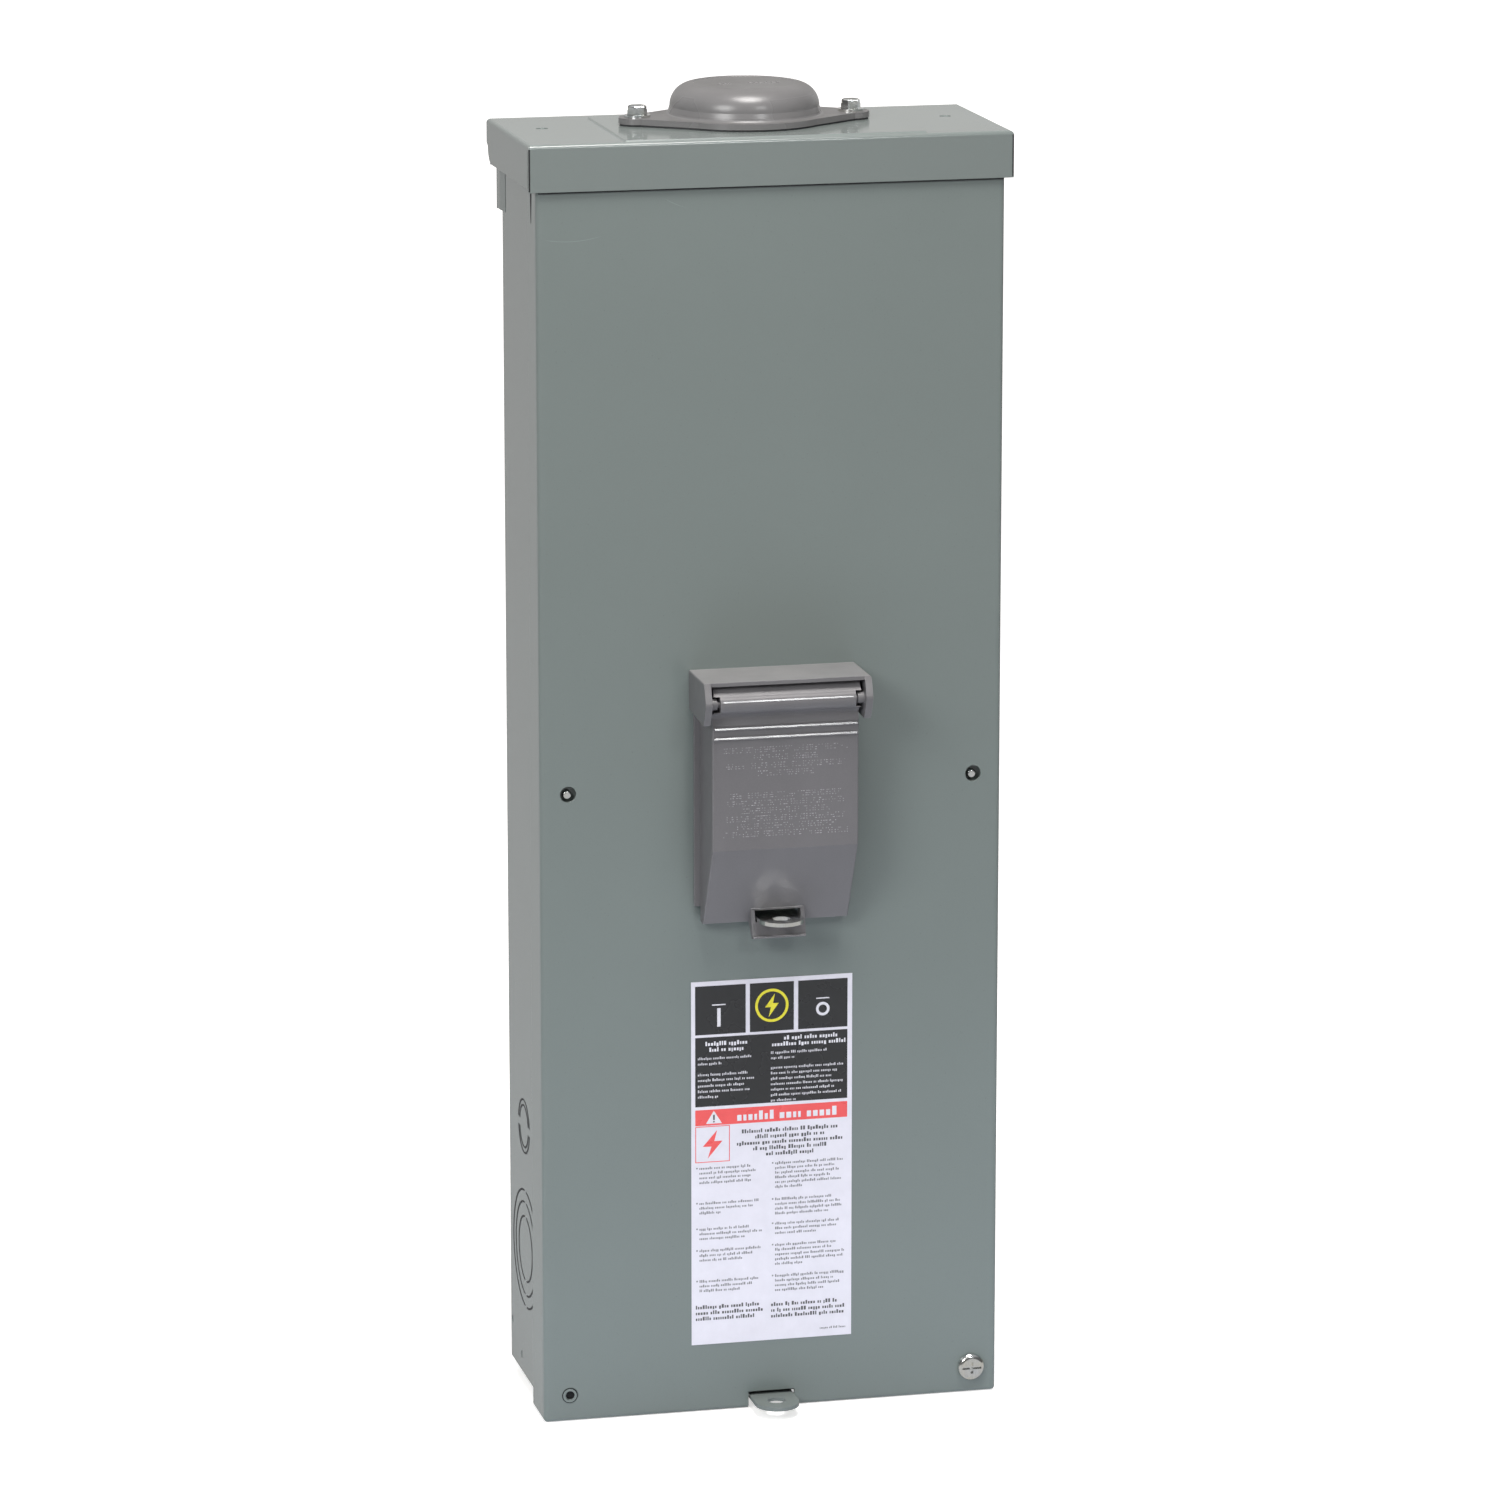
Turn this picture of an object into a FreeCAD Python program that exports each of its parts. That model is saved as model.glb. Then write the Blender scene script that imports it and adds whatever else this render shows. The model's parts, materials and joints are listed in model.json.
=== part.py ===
import FreeCAD, Part
import os
import re
import Sketcher

# Rainproof load center for one main breaker, in millimetres.
# X runs to the right, Y back into the wall and Z up. The origin lies on the wall plane, at the
# centre of the four wall-mounting holes. A depth is a distance out from the wall, so y = -depth.

SIZES = {
    # sheet metal
    "sheet": 1.5, "bend_radius": 2.2,
    # box: back panel, sides and the embossed pads that hold it off the wall
    "box_width": 237, "box_bottom": -324, "box_rear": 8, "box_front": 101.5,
    "lip_width": 12, "lip_low": -300, "lip_high": 290,
    "mount_x": 75, "mount_z": 262, "pad_radius": 22, "pad_taper": 34, "mount_hole": 4,
    # hood
    "hood_width": 249, "hood_top": 332.3, "hood_bottom": 308.6, "hood_front": 107.8,
    "hood_tab_bottom": 286, "hood_rise": 0.8, "corner_gap": 0.9,
    # hub closing plate on the hood
    "hub_x": -1, "hub_depth": 49, "hub_height": 20.9, "hub_flat": 26.6, "hub_body": 39.5,
    "hub_flange": 41.5, "hub_thick": 3, "hub_screw_x": 55.5, "hub_ear": 9.5, "hub_gasket": 1,
    # front cover
    "cover_width": 241, "cover_face": 106, "cover_bottom": -331, "cover_top": 327,
    "flange_low": 77, "flange_high": 86, "return_depth": 16,
    "window_x": 27, "window_low": -24, "window_high": 30,
    "side_hole_x": 106, "side_hole_z": 1.5, "side_hole": 4.15,
    "corner_screw_x": 107, "corner_screw_z": -317,
    "notch_x": 12.2, "notch_top": -322,
    # utility seal tongue under the box
    "seal_x": 11.5, "seal_thick": 2, "seal_reach": 130, "seal_hole": 4.7, "seal_hole_depth": 117,
    # label
    "label_x": 42.5, "label_low": -294.6, "label_high": -100.5, "label_thick": 0.25,
    # handle-flap housing
    "house_x": 43.3, "house_top": 63, "house_wall": 3.5, "roof_out": 34.5, "roof_thick": 2, "frame_x": 41,
    "frame_thick": 2, "frame_low": -60, "ear_low": 41, "ear_out": 33.5, "ear_nose": 38.9,
    # flap, hinged below the housing's roof
    "hinge_out": 32, "hinge_z": 51.5, "stub_radius": 1.7, "stub_x": 42, "boss_radius": 2.9, "boss_x": 36.3,
    "barrel_radius": 4.8, "barrel_x": 35,
    "flap_x": 38, "flap_wall": 2.5, "flap_rear": 2.4, "flap_front": 30, "flap_bend": -25,
    "flap_low": -68, "flap_foot": 8, "rib_low": 33, "rib_high": 38, "rib_radius": 0.8,
    "tab_x": 14, "tab_top": -60, "tab_low": -75, "slot_x": 12, "slot_low": -67, "slot_high": -61.2,
    # padlock tongue
    "lock_x": 11.5, "lock_low": -66, "lock_thick": 2, "lock_out": 31.7, "lock_hole": 4.5,
    "lock_hole_out": 21.6, "lock_foot": -40,
    # breaker and its pan
    "pan_x": 74, "pan_foot_x": 90, "pan_z": 140, "pan_top": 25, "pan_thick": 2,
    "breaker_x": 38.1, "breaker_z": 60, "breaker_split": 58, "breaker_face": 92, "case_wall": 3,
    "nose_x": 26, "nose_z": 20, "nose_face": 103, "pole_x": 19,
    "pivot_depth": 76, "handle_hub": 18, "handle_z": 7, "handle_x": 6, "handle_tip": 50,
    "handle_angle": 14, "pin_radius": 2.5,
    "bar_depth": 45, "bar_z": -12, "bar_radius": 6, "journal_radius": 3,
    "strap_x": 6, "strap_rear": 33, "strap_front": 36, "strap_end": 84,
    "lug_x": 11, "lug_low": 62, "lug_high": 90, "lug_front": 66, "lug_bore": 8, "lug_screw": 5.9,
    # neutral and grounding hardware
    "neutral_x": 58, "neutral_low": -40, "neutral_high": 100, "neutral_rear": 33,
    "neutral_front": 45, "ground_x": -98, "ground_low": -230, "ground_high": -130,
}

TINY = 1e-6
NAME = re.compile(r"[A-Za-z_]+")
UP = FreeCAD.Vector(0, 0, 1)

doc = FreeCAD.newDocument("load_center")
sheet = doc.addObject("Spreadsheet::Sheet", "dims")


def fill_sheet():
    for row, (alias, number) in enumerate(SIZES.items(), start=1):
        sheet.set(f"A{row}", alias)
        sheet.set(f"B{row}", str(number))
        sheet.setAlias(f"B{row}", alias)
    doc.recompute()


def full(text):
    """Writes each alias in an expression with the sheet's name in front."""
    return NAME.sub(lambda found: "dims." + found[0] if found[0] in SIZES else found[0], str(text))


def value(text):
    return float(sheet.evalExpression(full(text)))


def near(first, second, gap=0.01):
    return abs(first - second) < gap


def out(text):
    """The y of a point that stands this far out from the cover's face."""
    return f"-(cover_face + {text})"


# Sketch outlines. Each returns a function that draws it, with its constraints, in a sketch.

def bind(sketch, constraint, text):
    number = sketch.addConstraint(constraint)
    sketch.setExpression(f"Constraints[{number}]", full(text))


def fix_point(sketch, edge, end, u, v):
    for kind, text, axis in (("DistanceX", u, -2), ("DistanceY", v, -1)):
        if abs(value(text)) < TINY:
            sketch.addConstraint(Sketcher.Constraint("PointOnObject", edge, end, axis))
        else:
            bind(sketch, Sketcher.Constraint(kind, edge, end, value(text)), text)


def disc(u, v, radius):
    def draw(sketch):
        centre = FreeCAD.Vector(value(u), value(v), 0)
        edge = sketch.addGeometry(Part.Circle(centre, UP, value(radius)), False)
        fix_point(sketch, edge, 3, u, v)
        bind(sketch, Sketcher.Constraint("Radius", edge, value(radius)), radius)
    return draw


def discs(spots, radius):
    return [disc(u, v, radius) for u, v in spots]


def arc_between(start, end, radius, turn):
    """The shorter arc from start to end; turn is 1 for anticlockwise and -1 for clockwise."""
    chord = end - start
    half = chord.Length / 2
    inward = UP.cross(chord).normalize() * turn
    rise = max(radius * radius - half * half, 0) ** 0.5
    middle = (start + end) * 0.5 + inward * (rise - radius)
    ends = (start, end) if turn > 0 else (end, start)
    return Part.Arc(ends[0], middle, ends[1])


def outline(points):
    """A closed outline. A point is (u, v), reached by a line, or (u, v, radius, turn), by an arc."""
    def draw(sketch):
        spots = [FreeCAD.Vector(value(point[0]), value(point[1]), 0) for point in points]
        edges = []
        for index, spot in enumerate(spots):
            following = (index + 1) % len(points)
            target = points[following]
            if len(target) == 2:
                edge, backward = Part.LineSegment(spot, spots[following]), False
            else:
                edge = arc_between(spot, spots[following], value(target[2]), target[3])
                backward = target[3] < 0
            edges.append((sketch.addGeometry(edge, False), backward))
        for index, (edge, backward) in enumerate(edges):
            after, after_backward = edges[(index + 1) % len(edges)]
            sketch.addConstraint(Sketcher.Constraint(
                "Coincident", edge, 1 if backward else 2, after, 2 if after_backward else 1))
        for index, (edge, backward) in enumerate(edges):
            fix_point(sketch, edge, 2 if backward else 1, *points[index][:2])
            target = points[(index + 1) % len(points)]
            if len(target) > 2:
                chord = spots[(index + 1) % len(points)] - spots[index]
                if near(chord.Length, 2 * value(target[2]), TINY):
                    kind = "Horizontal" if near(chord.y, 0) else "Vertical"
                    sketch.addConstraint(Sketcher.Constraint(kind, edge, 3, edge, 1))
                else:
                    bind(sketch, Sketcher.Constraint("Radius", edge, value(target[2])), target[2])
    return draw


def rectangle(u_low, v_low, u_high, v_high):
    return outline([(u_low, v_low), (u_high, v_low), (u_high, v_high), (u_low, v_high)])


def centred(half_u, v_low, v_high):
    return rectangle(f"-({half_u})", v_low, half_u, v_high)


def hexagon(u, v, across):
    """A regular hexagon by its size across the corners."""
    corners = ((1, 0), (0.5, 0.8660254), (-0.5, 0.8660254), (-1, 0), (-0.5, -0.8660254), (0.5, -0.8660254))
    return outline([(f"{u} + {a} * {across} / 2", f"{v} + {b} * {across} / 2") for a, b in corners])


# Features

def new_body(label):
    body = doc.addObject("PartDesign::Body", label)
    body.Label = label
    body.AllowCompound = True
    return body


def new_sketch(body, plane, offset, outlines, shift=None):
    """A sketch on one of the body's origin planes, moved by offset along that plane's normal."""
    sketch = body.newObject("Sketcher::SketchObject", f"{body.Name}_sketch")
    base = next(item for item in body.Origin.OriginFeatures if item.Role == f"{plane}_Plane")
    sketch.AttachmentSupport = (base, [""])
    sketch.MapMode = "FlatFace"
    sketch.setExpression(".AttachmentOffset.Base.z", full(offset))
    for axis, text in (shift or {}).items():
        sketch.setExpression(f".AttachmentOffset.Base.{axis}", full(text))
    for draw in outlines:
        draw(sketch)
    return sketch


def extrude(kind, body, plane, offset, outlines, length, flip=False, both=False, taper=None):
    feature = body.newObject(f"PartDesign::{kind}", f"{body.Name}_{kind.lower()}")
    feature.Profile = new_sketch(body, plane, offset, outlines)
    feature.setExpression("Length", full(length))
    feature.Reversed = flip
    if both:
        feature.SideType = "Symmetric"
    if taper:
        feature.setExpression("TaperAngle", full(taper))
    body.Tip = feature
    return feature


def pad(body, plane, offset, outlines, length, **options):
    return extrude("Pad", body, plane, offset, outlines, length, **options)


def pocket(body, plane, offset, outlines, length, **options):
    return extrude("Pocket", body, plane, offset, outlines, length, **options)


def revolve(kind, body, plane, shift, points):
    """Turns a profile right round the upright line through shift."""
    feature = body.newObject(f"PartDesign::{kind}", f"{body.Name}_{kind.lower()}")
    sketch = new_sketch(body, plane, shift["z"], [outline(points)], {"x": shift["x"]})
    feature.Profile = sketch
    feature.ReferenceAxis = (sketch, ["V_Axis"])
    feature.Angle = 360
    body.Tip = feature
    return feature


def round_edges(body, radius, chooser):
    """Rounds the edges of the body so far that the chooser picks by their bounding box."""
    doc.recompute()
    base = body.Tip
    names = [f"Edge{number}" for number, edge in enumerate(base.Shape.Edges, start=1)
             if chooser(edge.BoundBox)]
    feature = body.newObject("PartDesign::Fillet", f"{body.Name}_fillet")
    feature.Base = (base, names)
    feature.setExpression("Radius", full(radius))
    body.Tip = feature
    return feature


def mirrored(points):
    """The same (u, v) spots on the right and on the left."""
    return [(f"{side} * ({u})", v) for u, v in points for side in (-1, 1)]


def rings(u, v, radii, width=0.8):
    """Narrow rings, as the cut round a knockout."""
    made = []
    for radius in radii:
        made += [disc(u, v, f"{radius} + {width} / 2"), disc(u, v, f"{radius} - {width} / 2")]
    return made


def ties(u, v, radii, across):
    """Short bridges left in those rings, on a line along u or along v."""
    made = []
    for radius in radii:
        for side in (-1, 1):
            shift = f"{side} * {radius}"
            middle_u, middle_v = (f"{u} + {shift}", v) if across else (u, f"{v} + {shift}")
            half_u, half_v = (1, 2) if across else (2, 1)
            made.append(rectangle(f"{middle_u} - {half_u}", f"{middle_v} - {half_v}",
                                  f"{middle_u} + {half_u}", f"{middle_v} + {half_v}"))
    return made


def knockouts(body, plane, offset, spots, depth=0.7, flip=False):
    """Concentric knockouts cut part-way into a sheet; each spot is (u, v, radii)."""
    for count, (u, v, radii) in enumerate(spots):
        pocket(body, plane, offset, rings(u, v, radii), depth, flip=flip)
        pad(body, plane, offset, ties(u, v, radii, count % 2 == 0), depth, flip=not flip)


def bars(spots, half_u, half_v):
    return [rectangle(f"{u} - {half_u}", f"{v} - {half_v}", f"{u} + {half_u}", f"{v} + {half_v}")
            for u, v in spots]


def at_level(plane, level):
    """Picks the edges that lie flat at one height or at one depth."""
    if plane == "XY":
        return lambda box: near(box.ZMin, level) and near(box.ZMax, level)
    return lambda box: near(box.YMin, -level) and near(box.YMax, -level)


def fasteners(label, plane, seats, shank, length, head, rise, recess=None, washer=0, hexed=False, soft=0.4):
    """Screws, studs or rivets in one node. seats lists (offset of the seat, [(u, v), ...])."""
    body = new_body(label)
    for seat, spots in seats:
        pad(body, plane, seat, discs(spots, shank), length, flip=True)
        if washer:
            pad(body, plane, seat, discs(spots, washer), 1.2)
        base = f"{seat} + 1.2" if washer else seat
        shape = hexagon if hexed else disc
        pad(body, plane, base, [shape(u, v, head) for u, v in spots], rise)
        top = f"{base} + {rise}"
        round_edges(body, f"{rise} * {soft}", at_level(plane, value(top)))
        if recess in ("slot", "combo"):
            pocket(body, plane, top, bars(spots, 0.7 * head, 0.1 * head), f"{rise} * 0.45")
        if recess == "combo":
            pocket(body, plane, top, bars(spots, 0.1 * head, 0.42 * head), f"{rise} * 0.6")
    return body


# Enclosure

def box_shell():
    body = new_body("box_shell")
    pad(body, "XZ", "box_rear", [centred("box_width/2", "box_bottom", "hood_top - sheet")],
        "box_front - box_rear")
    half, rear = value("box_width/2"), value("box_rear")
    round_edges(body, "bend_radius", lambda box: near(box.YMax, -rear) and near(box.YLength, 0)
                and near(abs(box.XMin), half) and near(box.XLength, 0))
    pocket(body, "XZ", "box_front + 1", [centred("box_width/2 - sheet", "box_bottom - 1", "hood_top")],
           "box_front + 1 - box_rear - sheet")
    lip = "box_width/2 - sheet"
    tab = [rectangle(f"{side} * ({lip})", "side_hole_z - 16", f"{side} * ({lip} - 20)", "side_hole_z + 16")
           for side in (-1, 1)]
    strips = [rectangle(f"{side} * ({lip})", "lip_low", f"{side} * ({lip} - lip_width)", "lip_high")
              for side in (-1, 1)]
    pad(body, "XZ", "box_front - sheet", strips, "sheet")
    pad(body, "XZ", "box_front - sheet", tab, "sheet")
    pocket(body, "XZ", "box_front", discs(mirrored([("side_hole_x", "side_hole_z - 0.9")]), 2.6), "sheet")
    mounts = mirrored([("mount_x", "mount_z"), ("mount_x", "-mount_z")])
    pad(body, "XZ", "box_rear", discs(mounts, "pad_radius"), "box_rear", flip=True,
        taper="-pad_taper")
    pocket(body, "XZ", "box_rear + sheet", discs(mounts, "pad_radius - 1.2"), "box_rear",
           taper="-pad_taper")
    pocket(body, "XZ", "box_rear", discs(mounts, "mount_hole"), "box_rear")
    pocket(body, "XZ", "box_rear + sheet", discs(box_screw_spots(), 2.3), "sheet")
    side_spots = [(-48, -188, (11.1, 14.1)), (-50, -254, (17.3, 25, 31.4))]
    knockouts(body, "YZ", "box_width/2", side_spots)
    knockouts(body, "YZ", "-box_width/2", side_spots, flip=True)
    knockouts(body, "XZ", "box_rear", [(0, 215, (11.1, 14.1)), (0, -215, (14.1, 17.3))], flip=True)
    welds = [disc(-38, -315, 2), disc(-72, -305, 2), disc(-14, -303, 2)]
    for side in (-1, 1):
        pocket(body, "YZ", f"{side} * box_width/2", welds, 0.3, flip=side < 0)
    return body


def box_screw_spots():
    """Where the pan, the grounding bar and the bonding strap are screwed to the back panel."""
    return (mirrored([(81, 125), (81, -125)]) + [("ground_x", -224), ("ground_x", -136)]
            + [("neutral_x", -158)])


def bottom_endwall():
    body = new_body("bottom_endwall")
    half = "box_width/2 - sheet - 0.1"
    pad(body, "XY", "box_bottom", [centred(half, "-(box_front - 0.1)", "-(box_rear + sheet + 0.1)")], 16)
    pocket(body, "XY", "box_bottom + 17", [centred(f"{half} - sheet", "-(box_front - 0.1 - sheet)",
                                                   "-(box_rear + 2 * sheet + 0.1)")], "17 - sheet")
    pocket(body, "XZ", "box_front", [disc("corner_screw_x", "corner_screw_z", 3.65)], 4)
    knockouts(body, "XY", "box_bottom", [(-62, -55, (17.3, 21.9, 28.2, 31.4)), (20, -42, (14.1, 17.3)),
                                         (72, -52, (11.1, 14.1, 17.3, 21.9))], flip=True)
    pocket(body, "XY", "box_bottom + sheet", discs(mirrored([(105, -90)]), 2), 4)
    return body


def seal_tongue():
    body = new_body("seal_tongue")
    straight = "-(seal_reach - seal_x)"
    tongue = outline([("-seal_x", straight), ("seal_x", straight, "seal_x", 1), ("seal_x", -60),
                      ("-seal_x", -60)])
    pad(body, "XY", "box_bottom - seal_thick", [tongue, disc(0, "-seal_hole_depth", "seal_hole")],
        "seal_thick")
    return body


def rain_hood():
    body = new_body("rain_hood")
    pad(body, "XY", "hood_bottom", [centred("hood_width/2", "-hood_front", 0)], "hood_top - hood_bottom")
    half, front, top = value("hood_width/2"), value("hood_front"), value("hood_top")
    round_edges(body, "bend_radius", lambda box: near(box.ZMin, top) and near(box.ZMax, top))
    inside = centred("hood_width/2 - sheet", "-(hood_front - sheet)", "-sheet")
    pocket(body, "XY", "hood_bottom - 1", [inside], "hood_top - hood_bottom + 1 - sheet", flip=True)
    pad(body, "XZ", 0, [centred("hood_width/2 - 5", "hood_tab_bottom", "hood_bottom + 2")], "sheet")
    slit = "-(hood_front - sheet - corner_gap)"
    trim = outline([("-(hood_front - sheet + 0.05)", "hood_bottom - 1"), (1, "hood_bottom - 1"),
                    (1, "hood_bottom + 12"), (-3, "hood_bottom + 10"), (-11, "hood_bottom + 1.5", 9, -1),
                    (slit, "hood_bottom + 1.5"), (slit, "hood_top - 3.2"),
                    ("-(hood_front - sheet + 0.05)", "hood_top - 3.2")])
    for side in (-1, 1):
        pocket(body, "YZ", f"{side} * (hood_width/2 - sheet - 0.2)", [trim], "sheet + 2", flip=side > 0)
    pad(body, "XY", "hood_top", [rectangle(-75, "-(hood_front - bend_radius)", 80, -14)], "hood_rise",
        taper=-45)
    pocket(body, "XY", "hood_top + 2", [disc("hub_x", "-hub_depth", 34)]
           + [disc(f"hub_x + {side} * hub_screw_x", "-hub_depth", 3.1) for side in (-1, 1)], 6)
    pocket(body, "XY", "hood_top", discs(mirrored([(105, -46)]), 3), 0.4)
    return body


def hub_outline(grow):
    """The round flange with its two ears, as sketch outlines that overlap."""
    ear, radius = f"hub_ear + {grow}", f"hub_flange + {grow}"
    left, right = "hub_x - hub_screw_x", "hub_x + hub_screw_x"
    low, high = f"-hub_depth - ({ear})", f"-hub_depth + ({ear})"
    wide = [(left, high), (left, low, ear, 1), ("hub_x - 22", f"-hub_depth - ({radius}) + 7"),
            ("hub_x + 22", f"-hub_depth - ({radius}) + 7"), (right, low), (right, high, ear, 1),
            ("hub_x + 22", f"-hub_depth + ({radius}) - 7"), ("hub_x - 22", f"-hub_depth + ({radius}) - 7")]
    return outline(wide), disc("hub_x", "-hub_depth", radius)


def hub_plate(label, low, thick, grow, bore):
    body = new_body(label)
    wide, middle = hub_outline(grow)
    pad(body, "XY", low, [wide], thick)
    pad(body, "XY", low, [middle], thick)
    holes = [disc(f"hub_x + {side} * hub_screw_x", "-hub_depth", 3.2) for side in (-1, 1)]
    if bore:
        holes.append(disc("hub_x", "-hub_depth", bore))
    pocket(body, "XY", f"{low} + {thick}", holes, thick)
    return body


def hub_gasket():
    return hub_plate("hub_gasket", "hood_top + hood_rise", "hub_gasket", -0.6, 34)


def hub_closing_plate():
    low = "hood_top + hood_rise + hub_gasket"
    body = hub_plate("hub_closing_plate", low, "hub_thick", 0, 0)
    foot, top = f"{low} + hub_thick", "hood_top + hub_height"
    middle = {"x": "hub_x", "z": "hub_depth"}
    revolve("Revolution", body, "XZ", middle, [
        (0, low), ("hub_body + 1.5", low), ("hub_body + 1.5", foot),
        ("hub_body - 0.8", f"{foot} + 2.3", 2.4, -1), ("hub_body - 1.5", f"{top} - 11.4"),
        ("hub_flat", top, 11.5, 1), ("hub_flat - 0.6", top),
        ("hub_flat - 1", f"{top} - 0.4"), (0, f"{top} - 0.4")])
    revolve("Groove", body, "XZ", middle, [
        (0, f"{low} - 1"), ("hub_body - 3.5", f"{low} - 1"), ("hub_body - 3.9", f"{top} - 11.4"),
        ("hub_flat", f"{top} - 2.4", 9.1, 1), (0, f"{top} - 2.4")])
    return body


def hub_plate_screws():
    seat = "hood_top + hood_rise + hub_gasket + hub_thick"
    spots = [(f"hub_x + {side} * hub_screw_x", "-hub_depth") for side in (-1, 1)]
    return fasteners("hub_plate_screws", "XY", [(seat, spots)], 3, 16, 10.3, 4.8, "slot", 6.7, True, 0.16)


def cover_locating_studs():
    spots = mirrored([("side_hole_x", "side_hole_z - 0.9")])
    return fasteners("cover_locating_studs", "XZ", [("box_front - sheet", spots)], 4.5, 2.4, 2.5, 3.8,
                     soft=0.3)


# Front cover and what rides on it

def front_cover():
    body = new_body("front_cover")
    half, low, face = value("cover_width/2"), value("cover_bottom"), value("cover_face")
    pad(body, "XZ", "flange_low", [centred("cover_width/2", "cover_bottom", "cover_top")],
        "cover_face - flange_low")
    round_edges(body, "bend_radius", lambda box: (
        near(box.YMin, -face) and near(box.YMax, -face) and (near(box.ZMax, low) or near(abs(box.XMin), half)
                                                            and near(box.XLength, 0))
        or near(box.ZMax, low) and near(box.XLength, 0) and box.YLength > 1))
    inside = centred("cover_width/2 - sheet", "cover_bottom + sheet", "cover_top + 1")
    pocket(body, "XZ", "flange_low", [inside], "cover_face - flange_low - sheet", flip=True)
    slant = outline([("-flange_low", "cover_bottom"), (0, "cover_bottom"), (0, "cover_top + 1"),
                     ("-flange_high", "cover_top + 1")])
    pocket(body, "YZ", 0, [slant], "cover_width + 10", both=True)
    pocket(body, "XY", "cover_bottom + sheet + 1",
           [centred("cover_width/2 - 9", "-(cover_face - return_depth)", "-flange_low + 1")], 4)
    pocket(body, "XZ", "cover_face + 1", [centred("notch_x", "cover_bottom - 1", "notch_top")],
           "cover_face - flange_low + 1")
    holes = discs(mirrored([("side_hole_x", "side_hole_z")]), "side_hole")
    spare = "-(corner_screw_x - 0.5)"
    holes += [disc("corner_screw_x", "corner_screw_z", 3.5), disc(spare, "corner_screw_z", 2.3)]
    holes += discs(rivet_spots(), 1.65)
    holes += [centred("window_x", "window_low", "window_high"),
              centred("lock_x + 0.5", "lock_low - 0.4", "lock_low + lock_thick + 0.4")]
    pocket(body, "XZ", "cover_face", holes, "sheet")
    pocket(body, "XZ", "cover_face", [disc(spare, "corner_screw_z", 4.15)], 0.8, taper=-50)
    return body


def cover_label():
    body = new_body("cover_label")
    pad(body, "XZ", "cover_face", [centred("label_x", "label_low", "label_high")], "label_thick")
    return body


def cover_screw():
    return fasteners("cover_screw", "XZ", [("cover_face", [("corner_screw_x", "corner_screw_z")])],
                     3.1, 13, 7.25, 3.2, "combo", soft=0.85)


def screw_retainer():
    body = new_body("screw_retainer")
    spot = ("corner_screw_x", "corner_screw_z")
    pad(body, "XZ", "cover_face - sheet - 1.2", [disc(*spot, 6), disc(*spot, 3.12)], 1.1)
    return body


def opening_gasket():
    body = new_body("opening_gasket")
    pad(body, "XZ", "cover_face - sheet - 1.5",
        [centred("window_x + 7", "window_low - 7", "window_high + 7"),
         centred("window_x + 2", "window_low - 2", "window_high + 2")], 1.5)
    return body


def flap_housing():
    body = new_body("flap_housing")
    pad(body, "XZ", "cover_face", [centred("frame_x", "frame_low", "house_top - roof_thick"),
                                   centred("window_x", "window_low - 2", "window_high + 2")], "frame_thick")
    pocket(body, "XZ", "cover_face + frame_thick", discs(rivet_spots(), 1.65), "frame_thick")
    pad(body, "XZ", "cover_face", [centred("house_x", "house_top - roof_thick", "house_top")], "roof_out")
    nose = out("ear_nose - 0.5")
    ear = [(out(0), "house_top"), (out("roof_out"), "house_top"), (nose, "hinge_z + 2.5", 42, 1),
           (nose, "hinge_z - 0.5", 3.4, 1), (out("ear_out"), "ear_low", 30, 1), (out(0), "ear_low + 2")]
    for side in (-1, 1):
        pad(body, "YZ", f"{side} * (house_x - house_wall)", [outline(ear)], "house_wall", flip=side < 0)
        pad(body, "YZ", f"{side} * boss_x", [disc(out("hinge_out"), "hinge_z", "boss_radius")],
            "house_x - house_wall / 2 - boss_x", flip=side < 0)
        pocket(body, "YZ", f"{side} * (stub_x + 0.1)",
               [disc(out("hinge_out"), "hinge_z", "stub_radius + 0.06")], "stub_x + 0.1 - boss_x",
               flip=side < 0)
    roof = value("house_top")
    round_edges(body, 0.9, lambda box: near(box.ZMin, roof) and near(box.ZMax, roof) and box.YLength > 20)
    return body


def rivet_spots():
    return mirrored([(31, 50), (31, -50)])


def housing_rivets():
    spots = rivet_spots()
    body = fasteners("housing_rivets", "XZ", [("cover_face + frame_thick", spots)], 1.6,
                     "frame_thick + sheet + 1.2", 2.8, 1.0, soft=0.8)
    pad(body, "XZ", "cover_face - sheet", discs(spots, 2.6), 1.2, flip=True)
    return body


def padlock_tongue():
    body = new_body("padlock_tongue")
    rear = "cover_face - sheet - lock_thick - 0.1"
    straight = out("lock_out - lock_x")
    pad(body, "XY", "lock_low",
        [outline([("-lock_x", straight), ("lock_x", straight, "lock_x", 1), ("lock_x", f"-({rear})"),
                  ("-lock_x", f"-({rear})")]), disc(0, out("lock_hole_out"), "lock_hole")], "lock_thick")
    pad(body, "XZ", rear, [centred("lock_x", "lock_low", "lock_foot")], "lock_thick")
    return body


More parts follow.
